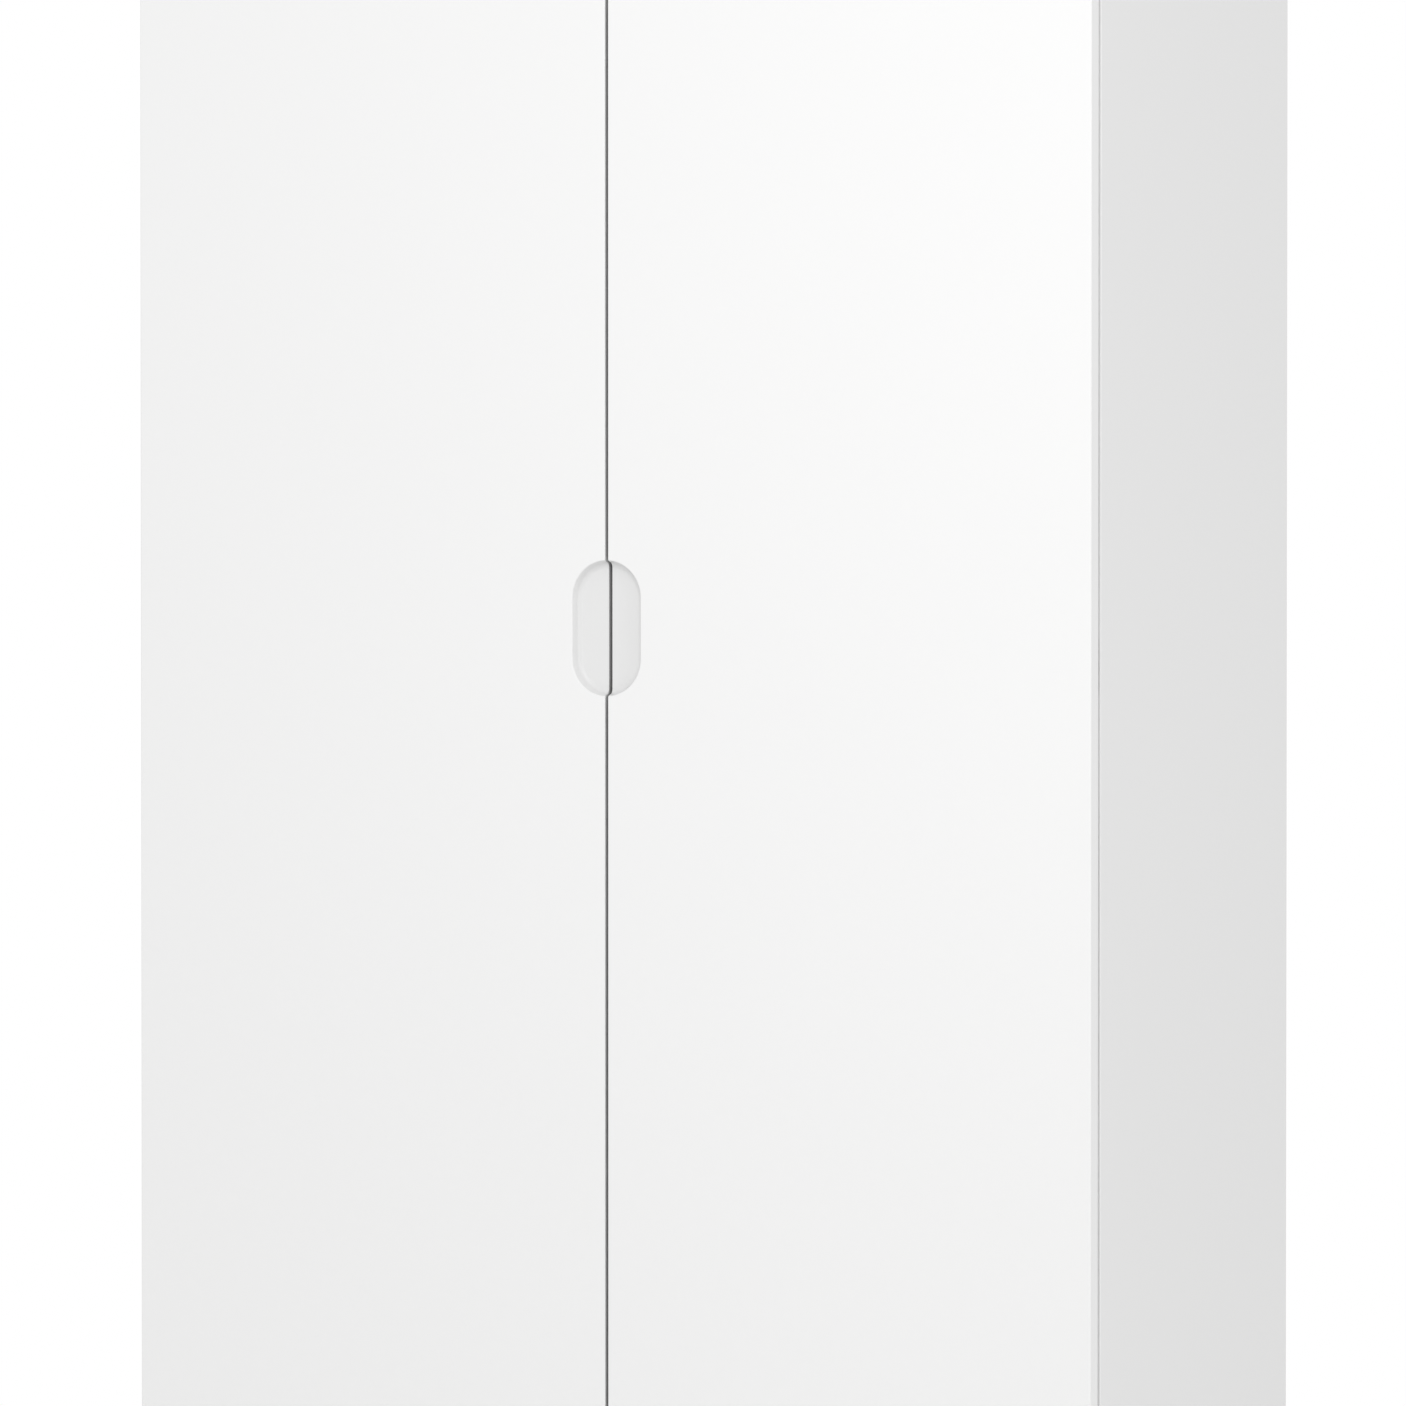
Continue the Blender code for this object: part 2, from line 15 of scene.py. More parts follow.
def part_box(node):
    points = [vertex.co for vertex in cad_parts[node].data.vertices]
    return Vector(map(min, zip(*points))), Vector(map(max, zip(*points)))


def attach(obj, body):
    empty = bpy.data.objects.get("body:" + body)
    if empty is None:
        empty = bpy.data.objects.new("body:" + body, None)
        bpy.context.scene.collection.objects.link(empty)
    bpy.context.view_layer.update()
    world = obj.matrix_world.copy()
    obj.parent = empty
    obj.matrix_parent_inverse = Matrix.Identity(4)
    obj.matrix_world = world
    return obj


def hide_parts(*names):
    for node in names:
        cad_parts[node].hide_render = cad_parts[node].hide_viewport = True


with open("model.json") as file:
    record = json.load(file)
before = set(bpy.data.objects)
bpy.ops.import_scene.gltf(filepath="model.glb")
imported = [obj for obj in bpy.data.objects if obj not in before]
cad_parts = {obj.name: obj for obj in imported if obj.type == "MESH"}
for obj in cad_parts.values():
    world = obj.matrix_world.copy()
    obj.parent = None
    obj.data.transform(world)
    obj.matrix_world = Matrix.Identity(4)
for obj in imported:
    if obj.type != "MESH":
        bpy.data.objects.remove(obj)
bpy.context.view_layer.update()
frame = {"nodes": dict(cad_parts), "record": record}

bl_info = {
    "name": "Two-Door Wardrobe",
    "version": (1, 0, 0),
    "blender": (4, 5, 0),
    "location": "3D View > Sidebar > Wardrobe",
    "description": "Makes the finished doors, boards, fittings and studio for a two-door wardrobe",
    "category": "Object",
}

SIDES = {"left": -1, "right": 1}
LEVELS = ("bottom", "middle", "top")
ENDS = ("front", "rear")
BORING_SLACK = 0.0003         # a bore is this much wider and deeper than what sits in it
MERGE_DISTANCE = 0.000005
SMOOTH_ANGLE = math.radians(38)
SHARP_ANGLE = math.radians(55)    # edges of stamped metal that are softened
FLAT_ANGLE = math.radians(0.5)    # faces within this angle are one face
LIP_STEPS = 6                 # facets round the lip, the heel and the seam of the finger pull
HEEL_STEPS = 8
SEAM_STEPS = 5
SWEEP_LEAD = 0.45             # the seam's cutter starts this share of a step in front of the wall
SWEEP_SPARE = 0.0012          # and stands out of the door by this
BORE_SIDES = 72
DRILL_SIDES = 20
HEAD_SIDES = 28
OVAL_STEPS = 20
FLOOR_SIDES = 96
BORE_OVERRUN = 0.002          # a cutter for a bore stands out behind the door by this
CUP_COLLAR = 0.004            # a cup is round from this far inside the door
SHELF_PIN_RADIUS = 0.0025
CUP_SCREW_U = 0.0155          # hinge screws: distances in from the door's edge, back from the carcass
CUP_SCREW_W = 0.0240          # front, and up or down from the middle of the hinge
PLATE_SCREW_V = 0.0370
PLATE_SCREW_W = 0.0165
ARM_SCREWS_V = (0.0365, 0.0500)
ARM_SLOPE_V = (0.030, 0.058)  # the arm's sloping face starts and ends here
SOCKET_PLATE = 0.0025         # thickness of the rail sockets' plates
SOCKET_SCREW_INSET = 0.0055
CAP_ROW_INSET = 0.060         # cam caps stand this far in from a board's front and back
NAIL_INSET = 0.0065           # nails stand this far in from the edge of the back boards
NAIL_SEAM_INSET = 0.030       # and this far from the strip between them
GAP_SHADE_DEPTHS = (0.001, 0.005)    # the painted shade on the seam's edges sets in between these depths
GAP_SHADE_REACH = 0.0003
STUDIO_LIGHTS = {             # place, aim and size of each light; its power is a setting
    "softbox": ((0.9, -2.6, 2.4), (0.4, -0.25, 1.5), (1.2, 1.6)),
    "front_fill": ((-1.5, -7.0, 1.4), (0.0, 0.0, 1.1), (2.5, 2.5)),
    "side_fill": ((4.5, -1.6, 1.4), (0.5, 0.0, 1.0), (2.4, 2.4)),
}


# ---------------------------------------------------------------- places read from the frame

def corners(node):
    """The lowest and the highest corner of a frame node."""
    low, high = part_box(node)
    return Vector(low), Vector(high)


def middle(node):
    """The middle of a frame node's box."""
    low, high = corners(node)
    return (low + high) / 2


def pull_height():
    """Height of the finger pull's middle, from the space kept free for the hand."""
    for opening in frame["record"]["physics"]["openings"]:
        if opening["name"] == "finger_pull_left":
            low, high = opening["box_m"]
            return (low[2] + high[2]) / 2
    raise RuntimeError("the frame keeps no space free for the finger pull")


DOOR_FRONT = corners("left_door_panel")[0].y
DOOR_BACK = corners("left_door_panel")[1].y
DOOR_EDGE = corners("right_door_panel")[1].x
SEAM_HALF = corners("right_door_panel")[0].x
CARCASS_FRONT = corners("bottom_panel")[0].y
BACK_OUTER = corners("back_panel_left")[1].y
BACK_MIDDLE = middle("back_panel_left").y
HINGE_HEIGHTS = [middle("hinge_plate_left_" + level).z for level in LEVELS]


# ---------------------------------------------------------------- settings a user would change

def length(name, description, default):
    """A length property in metres."""
    return FloatProperty(name=name, description=description, default=default, unit="LENGTH", precision=5)


def share(name, description, default):
    """A property between nought and one."""
    return FloatProperty(name=name, description=description, default=default, min=0.0, max=1.0,
                         subtype="FACTOR")


def colour(name, description, default):
    """A colour property."""
    return FloatVectorProperty(name=name, description=description, default=default, size=3, min=0.0,
                               max=1.0, subtype="COLOR")


class WardrobeDoorSettings(bpy.types.PropertyGroup):
    """Sizes of the doors and of the finger pull that they share."""
    edge_radius: length("Edge Radius", "Softening of the door's outer edges", 0.0014)
    edge_steps: IntProperty(name="Edge Steps", description="Facets across a softened edge", default=5, min=2)
    pull_height: length("Pull Centre Height", "Height of the finger pull's middle", pull_height())
    pull_width: length("Pull Width", "Width of the finger pull across both doors", 0.070)
    pull_length: length("Pull Length", "Height of the finger pull from end to end", 0.127)
    pull_depth: length("Pull Depth", "Depth of the finger pull", 0.010)
    pull_draft: length("Pull Draft", "How far the pull's wall leans in over its depth", 0.0015)
    pull_lip: length("Pull Lip", "Rounding between the door's face and the pull's wall", 0.0010)
    pull_heel: length("Pull Heel", "Rounding between the pull's wall and its floor", 0.0055)
    seam_round: length("Seam Rounding", "Rounding of the pull's floor along the seam", 0.0009)
    pull_arc_steps: IntProperty(name="Pull Arc Steps", description="Facets round half of the pull's end",
                                default=64, min=8)


class WardrobeBoardSettings(bpy.types.PropertyGroup):
    """Sizes of the carcass boards and their rows of shelf holes."""
    edge_radius: length("Edge Radius", "Softening of the edge bands", 0.0010)
    edge_steps: IntProperty(name="Edge Steps", description="Facets across a softened edge", default=4, min=2)
    hole_radius: length("Hole Radius", "Radius of a shelf hole", 0.0027)
    hole_depth: length("Hole Depth", "Depth of a shelf hole", 0.0103)
    hole_pitch: length("Hole Pitch", "Distance from one shelf hole to the next", 0.032)
    row_bottom: length("Row Bottom", "Lowest height for a shelf hole", 0.30)
    row_top: length("Row Top", "Greatest height for a shelf hole", 1.80)


class WardrobeFittingSettings(bpy.types.PropertyGroup):
    """Sizes of screws, caps, nails and the clothes rail, and the softening of the stamped metal's edges."""
    screw_radius: length("Screw Radius", "Radius of a hinge screw's head", 0.0036)
    screw_height: length("Screw Height", "Height of a hinge screw's head", 0.0009)
    flange_screw_height: length("Flange Screw Height", "Height of a cup flange screw's head", 0.0006)
    recess_width: length("Recess Width", "Width of each arm of a cross recess", 0.0011)
    cap_radius: length("Cap Radius", "Radius of a cap over a cam fitting", 0.0085)
    cap_height: length("Cap Height", "Height of a cap over a cam fitting", 0.0009)
    cap_inset: length("Cap Inset", "Distance of a cap from the carcass side", 0.034)
    nail_radius: length("Nail Radius", "Radius of a back nail's head", 0.0021)
    nail_height: length("Nail Height", "Height of a back nail's head", 0.0005)
    nail_pitch: length("Nail Pitch", "Greatest distance from one back nail to the next", 0.145)
    polish_radius: length("Polish Radius", "Softening of the stamped metal's edges", 0.00014)
    rail_wall: length("Rail Wall", "Wall thickness of the clothes rail", 0.0012)


class WardrobeFinishSettings(bpy.types.PropertyGroup):
    """Colours and gloss of the finishes, and the shade painted into the finger pull and onto the seam's
    edges.
    """
    lacquer: colour("Lacquer", "Colour of the doors", (0.905, 0.905, 0.903))
    # painted shade: the lacquer inside the finger pull is darkened to stand for the hollow's shade
    pull_painted_shade: share("Pull Shade", "Tone of the lacquer inside the finger pull", 0.890)
    # painted shade: the door edges that face each other across the seam are darkened to stand for the narrow
    # gap's shade
    seam_painted_shade: share("Seam Shade", "Tone of the edge bands that face each other at the seam", 0.62)
    lacquer_gloss: share("Lacquer Roughness", "Roughness of the doors", 0.30)
    board: colour("Board", "Colour of the carcass boards", (0.870, 0.870, 0.868))
    board_gloss: share("Board Roughness", "Roughness of the carcass boards", 0.42)
    hardboard: colour("Hardboard", "Colour of the raw side of the back boards", (0.53, 0.43, 0.31))
    plastic: colour("Plastic", "Colour of strips and caps", (0.82, 0.82, 0.81))
    glide: colour("Glide", "Colour of the foot glides", (0.55, 0.55, 0.54))
    steel: colour("Steel", "Colour of nickel and zinc fittings", (0.66, 0.65, 0.63))
    chrome: colour("Chrome", "Colour of the clothes rail", (0.80, 0.80, 0.82))


class WardrobeStudioSettings(bpy.types.PropertyGroup):
    """Place of the camera and strength of the light."""
    camera_place: FloatVectorProperty(name="Camera Place", description="Where the camera stands",
                                      default=(4.0506, -9.1663, 1.1658), size=3, subtype="XYZ")
    camera_turn: FloatProperty(name="Camera Turn", description="Turn of the camera to its left",
                               default=math.radians(23.913), subtype="ANGLE")
    camera_tilt: FloatProperty(name="Camera Tilt", description="How far the camera looks down",
                               default=math.radians(1.263), subtype="ANGLE")
    camera_lens: FloatProperty(name="Lens", description="Focal length", default=267.47, unit="CAMERA")
    floor_radius: length("Floor Radius", "Radius of the studio floor", 2.2)
    surround: FloatProperty(name="Surround", description="Strength of the light from all round",
                            default=0.73, min=0.0)
    softbox: FloatProperty(name="Softbox", description="Power of the box light up to the right",
                           default=16.5, min=0.0, unit="POWER")
    front_fill: FloatProperty(name="Front Fill", description="Power of the wide light in front",
                              default=35.0, min=0.0, unit="POWER")
    side_fill: FloatProperty(name="Side Fill", description="Power of the wide light to the right",
                             default=26.0, min=0.0, unit="POWER")


# ---------------------------------------------------------------- mesh building

def closed_mesh(name, bm):
    """Turn a bmesh into a mesh with its faces pointing out."""
    bmesh.ops.recalc_face_normals(bm, faces=bm.faces)
    mesh = bpy.data.meshes.new(name)
    bm.to_mesh(mesh)
    bm.free()
    return mesh


def softened_box(name, low, high, radius, steps):
    """A box between two corners with rounded edges."""
    bm = bmesh.new()
    bmesh.ops.create_cube(bm, size=1.0)
    bmesh.ops.scale(bm, vec=high - low, verts=bm.verts)
    bmesh.ops.translate(bm, vec=(low + high) / 2, verts=bm.verts)
    bmesh.ops.bevel(bm, geom=bm.edges[:], offset=radius, segments=steps, profile=0.5, affect="EDGES")
    return closed_mesh(name, bm)


def skin(name, rings):
    """A closed skin over a stack of rings that all have the same number of points."""
    bm = bmesh.new()
    loops = [[bm.verts.new(point) for point in ring] for ring in rings]
    for lower, upper in zip(loops, loops[1:]):
        for i in range(len(lower)):
            j = (i + 1) % len(lower)
            bm.faces.new((lower[i], lower[j], upper[j], upper[i]))
    bm.faces.new(loops[0])
    bm.faces.new(loops[-1])
    return closed_mesh(name, bm)


def arc(centre, radius, start, end, steps):
    """Points of an arc in a plane, both ends included."""
    angles = [start + (end - start) * i / steps for i in range(steps + 1)]
    return [(centre[0] + radius * math.cos(a), centre[1] + radius * math.sin(a)) for a in angles]


def stadium(half_width, half_height, steps):
    """Points of an upright stadium, anticlockwise from the right."""
    straight = half_height - half_width
    return (arc((0, straight), half_width, 0.0, math.pi, steps)
            + arc((0, -straight), half_width, math.pi, 2 * math.pi, steps))


def turned(name, profile, axis, place, steps=40):
    """A turned piece: radius and height pairs round an axis through a place."""
    ring = [(math.cos(2 * math.pi * i / steps), math.sin(2 * math.pi * i / steps)) for i in range(steps)]
    mesh = skin(name, [[(r * x, r * y, h) for x, y in ring] for r, h in profile])
    turn = Vector(axis).to_track_quat("Z", "Y").to_matrix().to_4x4()
    mesh.transform(Matrix.Translation(place) @ turn)
    return mesh


def evaluated_copy(work):
    """The mesh of an object with its modifiers applied; the object is removed."""
    depsgraph = bpy.context.evaluated_depsgraph_get()
    mesh = bpy.data.meshes.new_from_object(work.evaluated_get(depsgraph))
    bpy.data.objects.remove(work)
    return mesh


def stand_in(name, mesh):
    """A helper object that carries a mesh while modifiers work on it."""
    work = bpy.data.objects.new(name, mesh)
    bpy.context.collection.objects.link(work)
    return work


def carve(name, base, cutters):
    """Cut closed meshes from a base."""
    work = stand_in(name, base)
    tools = [stand_in(name + "_cutter", cutter) for cutter in cutters]
    for tool in tools:
        modifier = work.modifiers.new("Cut", "BOOLEAN")
        modifier.operation = "DIFFERENCE"
        modifier.object = tool
    mesh = evaluated_copy(work)
    for tool in tools:
        bpy.data.objects.remove(tool)
    return mesh


def dressed(name, mesh):
    """Smooth shading in which large flat faces stay flat and only their rounded edges turn."""
    mesh.shade_smooth()
    mesh.set_sharp_from_angle(angle=SMOOTH_ANGLE)
    work = stand_in(name, mesh)
    modifier = work.modifiers.new("Flat Faces", "WEIGHTED_NORMAL")
    modifier.keep_sharp = True
    modifier.weight = 100
    return evaluated_copy(work)


def settle(name, mesh, body, finish, stands_for=()):
    """Show a mesh as a finished piece that rides on a body and stands for frame nodes."""
    mesh.name = name
    mesh.materials.clear()
    mesh.materials.append(finish)
    piece = bpy.data.objects.new(name, mesh)
    bpy.context.collection.objects.link(piece)
    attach(piece, body)
    if stands_for:
        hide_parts(*stands_for)
    return piece


# ---------------------------------------------------------------- node trees for what repeats

def add_node(tree, kind, inputs=None, **settings):
    """A node with its settings; each of its inputs takes a plain value or comes from a socket."""
    node = tree.nodes.new(kind)
    for name, value in settings.items():
        setattr(node, name, value)
    for name, value in (inputs or {}).items():
        if isinstance(value, bpy.types.NodeSocket):
            tree.links.new(value, node.inputs[name])
        else:
            node.inputs[name].default_value = value
    return node


def named_inputs(tree, inputs):
    """Give a group its inputs, each a name, a kind and a value or None, and return their sockets."""
    for name, kind, default in inputs:
        socket = tree.interface.new_socket(name=name, in_out="INPUT", socket_type="NodeSocket" + kind)
        if default is not None:
            socket.default_value = default
    return tree.nodes.new("NodeGroupInput").outputs


def figure(tree, operation, first, second=0.0):
    """The result of a sum; each operand is a number or a socket."""
    return add_node(tree, "ShaderNodeMath", {0: first, 1: second}, operation=operation).outputs[0]


def geometry_tree(name, inputs):
    """A geometry tree that takes geometry, its own inputs and a material; also its sockets."""
    tree = bpy.data.node_groups.new(name, "GeometryNodeTree")
    tree.interface.new_socket(name="Geometry", in_out="OUTPUT", socket_type="NodeSocketGeometry")
    given = named_inputs(tree, [("Geometry", "Geometry", None), *inputs, ("Material", "Material", None)])
    return tree, given


def finish_tree(tree, geometry, material):
    """End a tree in real geometry with its material."""
    realize = add_node(tree, "GeometryNodeRealizeInstances", {"Geometry": geometry})
    paint = add_node(tree, "GeometryNodeSetMaterial", {
        "Geometry": realize.outputs["Geometry"], "Material": material})
    add_node(tree, "NodeGroupOutput", {"Geometry": paint.outputs["Geometry"]})
    return tree


def set_on_points(tree, points, shape):
    """A shape on every point, turned to the facing that the point stores."""
    facing = add_node(tree, "GeometryNodeInputNamedAttribute", {"Name": "facing"}, data_type="FLOAT_VECTOR")
    align = add_node(tree, "FunctionNodeAlignRotationToVector", {
        "Vector": facing.outputs["Attribute"]}, axis="Z")
    return add_node(tree, "GeometryNodeInstanceOnPoints", {
        "Points": points, "Instance": shape, "Rotation": align.outputs["Rotation"]}).outputs["Instances"]


def boolean(tree, operation, base, parts):
    """Meshes joined to each other, or cut from a base."""
    node = add_node(tree, "GeometryNodeMeshBoolean", operation=operation)
    if base is not None:
        tree.links.new(base, node.inputs["Mesh 1"])
    for part in parts:
        tree.links.new(part, node.inputs["Mesh 2"])
    return node.outputs["Mesh"]


def lifted(tree, geometry, lift, turn=0.0):
    """Geometry turned about its axis and lifted to its height."""
    rise = add_node(tree, "ShaderNodeCombineXYZ", {"Z": lift})
    return add_node(tree, "GeometryNodeTransform", {
        "Geometry": geometry, "Translation": rise.outputs[0],
        "Rotation": (0.0, 0.0, turn)}).outputs["Geometry"]


def cone_part(tree, bottom, top, depth, lift):
    """A turned slice of a fastener's head."""
    cone = add_node(tree, "GeometryNodeMeshCone", {
        "Vertices": HEAD_SIDES, "Radius Bottom": bottom, "Radius Top": top, "Depth": depth})
    return lifted(tree, cone.outputs["Mesh"], lift)


def bar_part(tree, width, reach, depth, lift, turn):
    """One arm of the cutter for a cross recess."""
    size = add_node(tree, "ShaderNodeCombineXYZ", {"X": width, "Y": reach, "Z": depth})
    bar = add_node(tree, "GeometryNodeMeshCube", {"Size": size.outputs[0]})
    return lifted(tree, bar.outputs["Mesh"], lift, turn)


def fastener_tree():
    """Tree that sets a chamfered head, plain or with a cross recess, on every point."""
    tree, given = geometry_tree("Fastener Heads", [
        ("Head Radius", "Float", 0.0035), ("Head Height", "Float", 0.0010), ("Recess Width", "Float", 0.0)])
    radius, height, recess = given["Head Radius"], given["Head Height"], given["Recess Width"]
    root = figure(tree, "MULTIPLY", height, -0.2)
    collar = figure(tree, "MULTIPLY", height, 0.65)
    knee = figure(tree, "MULTIPLY", height, 0.45)
    crown = figure(tree, "MULTIPLY", height, 0.35)
    peak = figure(tree, "MULTIPLY", height, 0.2)
    shoulder = figure(tree, "MULTIPLY", radius, 0.88)
    tip = figure(tree, "MULTIPLY", radius, 0.55)
    reach = figure(tree, "MULTIPLY", radius, 1.1)
    bite = figure(tree, "MULTIPLY", height, 1.3)
    body = boolean(tree, "UNION", None, [
        cone_part(tree, radius, radius, collar, root),
        cone_part(tree, radius, shoulder, crown, knee),
        cone_part(tree, shoulder, tip, peak, figure(tree, "ADD", knee, crown))])
    bars = [bar_part(tree, recess, reach, bite, height, turn) for turn in (0.0, math.pi / 2)]
    choose = add_node(tree, "GeometryNodeSwitch", {
        "Switch": figure(tree, "GREATER_THAN", recess), "False": body,
        "True": boolean(tree, "DIFFERENCE", body, bars)}, input_type="GEOMETRY")
    heads = set_on_points(tree, given["Geometry"], choose.outputs["Output"])
    return finish_tree(tree, heads, given["Material"])


def boring_tree():
    """Tree that bores a hole into a board at every point of another object."""
    tree, given = geometry_tree("Bored Holes", [
        ("Holes", "Object", None), ("Radius", "Float", 0.0025), ("Depth", "Float", 0.010)])
    holes = add_node(tree, "GeometryNodeObjectInfo", {"Object": given["Holes"]})
    drill = add_node(tree, "GeometryNodeMeshCylinder", {
        "Vertices": DRILL_SIDES, "Radius": given["Radius"],
        "Depth": figure(tree, "MULTIPLY", given["Depth"], 2.0)})
    drills = add_node(tree, "GeometryNodeRealizeInstances", {
        "Geometry": set_on_points(tree, holes.outputs["Geometry"], drill.outputs["Mesh"])})
    bored = boolean(tree, "DIFFERENCE", given["Geometry"], [drills.outputs["Geometry"]])
    return finish_tree(tree, bored, given["Material"])


def facing_points(name, places):
    """A mesh of loose points, each with the direction that it faces."""
    mesh = bpy.data.meshes.new(name)
    mesh.from_pydata([tuple(place) for place, facing in places], [], [])
    facings = mesh.attributes.new("facing", "FLOAT_VECTOR", "POINT")
    for item, (place, facing) in zip(facings.data, places):
        item.vector = facing
    return mesh


def run_tree(name, mesh, tree, values):
    """Put a mesh through a geometry tree with its inputs filled, and return the plain result."""
    work = stand_in(name, mesh)
    modifier = work.modifiers.new("Repeat", "NODES")
    modifier.node_group = tree
    for item in tree.interface.items_tree:
        if item.item_type == "SOCKET" and item.in_out == "INPUT" and item.name in values:
            modifier[item.identifier] = values[item.name]
    return evaluated_copy(work)


# ---------------------------------------------------------------- shader groups and finishes

def shader_group(name, inputs, outputs):
    """A shader group that takes a vector and its own inputs; also its sockets."""
    tree = bpy.data.node_groups.new(name, "ShaderNodeTree")
    given = named_inputs(tree, [("Vector", "Vector", None), *inputs])
    for socket_name in outputs:
        tree.interface.new_socket(name=socket_name, in_out="OUTPUT", socket_type="NodeSocketFloat")
    return tree, given


def noise(tree, vector, scale, detail, roughness=0.5):
    """A noise texture read at a vector."""
    return add_node(tree, "ShaderNodeTexNoise", {
        "Vector": vector, "Scale": scale, "Detail": detail, "Roughness": roughness}).outputs["Fac"]


def fine_grain_group():
    """Even fine grain: a tone for colour and a height for relief."""
    tree, given = shader_group("Fine Grain", [
        ("Grain Scale", "Float", 900.0), ("Cloud Scale", "Float", 6.0)], ["Tone", "Height"])
    grain = noise(tree, given["Vector"], given["Grain Scale"], 3.0, 0.6)
    cloud = noise(tree, given["Vector"], given["Cloud Scale"], 2.0)
    tone = figure(tree, "ADD", figure(tree, "MULTIPLY", grain, 0.5), figure(tree, "MULTIPLY", cloud, 0.5))
    add_node(tree, "NodeGroupOutput", {"Tone": tone, "Height": grain})


def handling_group():
    """Faint wiped patches that a hand and a cloth leave: a shift for roughness."""
    tree, given = shader_group("Handling Marks", [
        ("Patch Scale", "Float", 4.0), ("Amount", "Float", 0.05)], ["Shift"])
    patches = noise(tree, given["Vector"], given["Patch Scale"], 4.0, 0.62)
    streak_scale = figure(tree, "MULTIPLY", given["Patch Scale"], 9.0)
    streaks = noise(tree, given["Vector"], streak_scale, 2.0)
    both = figure(tree, "MULTIPLY", patches, figure(tree, "ADD", streaks, 0.5))
    centred = figure(tree, "SUBTRACT", both, 0.5)
    add_node(tree, "NodeGroupOutput", {"Shift": figure(tree, "MULTIPLY", centred, given["Amount"])})


def shade(base, factor):
    """A colour made darker or lighter."""
    return tuple(min(1.0, channel * factor) for channel in base)


class Finish:
    """One material: its shader, its object coordinates and the shared groups placed in it."""

    def __init__(self, name, metallic=0.0):
        self.material = bpy.data.materials.new(name)
        self.material.use_nodes = True
        self.tree = self.material.node_tree
        self.shader = self.tree.nodes["Principled BSDF"]
        self.shader.inputs["Metallic"].default_value = metallic
        self.where = add_node(self.tree, "ShaderNodeTexCoord").outputs["Object"]

    def feed(self, name, source):
        """Link one of the shader's inputs to a socket."""
        self.tree.links.new(source, self.shader.inputs[name])

    def shared(self, group, inputs):
        """A shared group placed in this material, read at the object coordinates."""
        return add_node(self.tree, "ShaderNodeGroup", {"Vector": self.where, **inputs},
                        node_tree=bpy.data.node_groups[group]).outputs

    def grain(self, grain_scale, cloud_scale, stretch=None):
        """The fine grain group at this finish's scales, drawn out along the axes if wanted."""
        inputs = {"Grain Scale": grain_scale, "Cloud Scale": cloud_scale}
        if stretch:
            mapping = add_node(self.tree, "ShaderNodeMapping", {"Vector": self.where, "Scale": stretch})
            inputs["Vector"] = mapping.outputs["Vector"]
        return self.shared("Fine Grain", inputs)

    def blend(self, factor, first, second):
        """A colour between two, by a factor; each is a plain colour or a socket."""
        mix = add_node(self.tree, "ShaderNodeMix", {"Factor": factor}, data_type="RGBA")
        ends = [socket for socket in mix.inputs if socket.type == "RGBA"]
        for socket, value in zip(ends, (first, second)):
            if isinstance(value, bpy.types.NodeSocket):
                self.tree.links.new(value, socket)
            else:
                socket.default_value = (*value, 1.0)
        return [socket for socket in mix.outputs if socket.type == "RGBA"][0]

    def tone(self, factor, base, spread):
        """A base colour, a spread darker and lighter by a factor."""
        return self.blend(factor, shade(base, 1 - spread), shade(base, 1 + spread))

    def gloss(self, roughness, patch_scale, amount):
        """Roughness with faint handling marks in it."""
        marks = self.shared("Handling Marks", {"Patch Scale": patch_scale, "Amount": amount})
        self.feed("Roughness", figure(self.tree, "ADD", marks["Shift"], roughness))

    def relief(self, height, distance, strength):
        """Bump from a height; the distance is the depth of the relief."""
        bump = add_node(self.tree, "ShaderNodeBump", {
            "Distance": distance, "Strength": strength, "Height": height})
        self.feed("Normal", bump.outputs["Normal"])


def inward_step(finish, start, end):
    """A surface's coordinates, and a soft step between two depths behind the door's face."""
    place = add_node(finish.tree, "ShaderNodeSeparateXYZ", {"Vector": finish.where}).outputs
    step = add_node(finish.tree, "ShaderNodeMapRange", {
        "Value": place["Y"], "From Min": DOOR_FRONT + start, "From Max": DOOR_FRONT + end},
        interpolation_type="SMOOTHSTEP")
    return place, step.outputs["Result"]


def recess_painted_shade_mask(finish, doors):
    """One inside the finger pull, where shade is painted into the lacquer, and nought on the faces, with a
    soft step just below the lip.
    """
    tree, lip = finish.tree, doors.pull_lip
    place, step = inward_step(finish, lip * 0.3, lip * 1.6)
    side = figure(tree, "ABSOLUTE", place["X"])
    rise = figure(tree, "ABSOLUTE", figure(tree, "SUBTRACT", place["Z"], doors.pull_height))
    near = figure(tree, "LESS_THAN", side, doors.pull_width / 2 + lip)
    level = figure(tree, "LESS_THAN", rise, doors.pull_length / 2 + lip)
    return figure(tree, "MULTIPLY", figure(tree, "MULTIPLY", near, level), step)


def seam_gap_shade_mask(finish):
    """One deep on the two door edges that face each other across the seam, where the gap's shade is painted,
    nought elsewhere.
    """
    place, step = inward_step(finish, *GAP_SHADE_DEPTHS)
    side = figure(finish.tree, "ABSOLUTE", place["X"])
    edge = figure(finish.tree, "LESS_THAN", side, SEAM_HALF + GAP_SHADE_REACH)
    return figure(finish.tree, "MULTIPLY", edge, step)


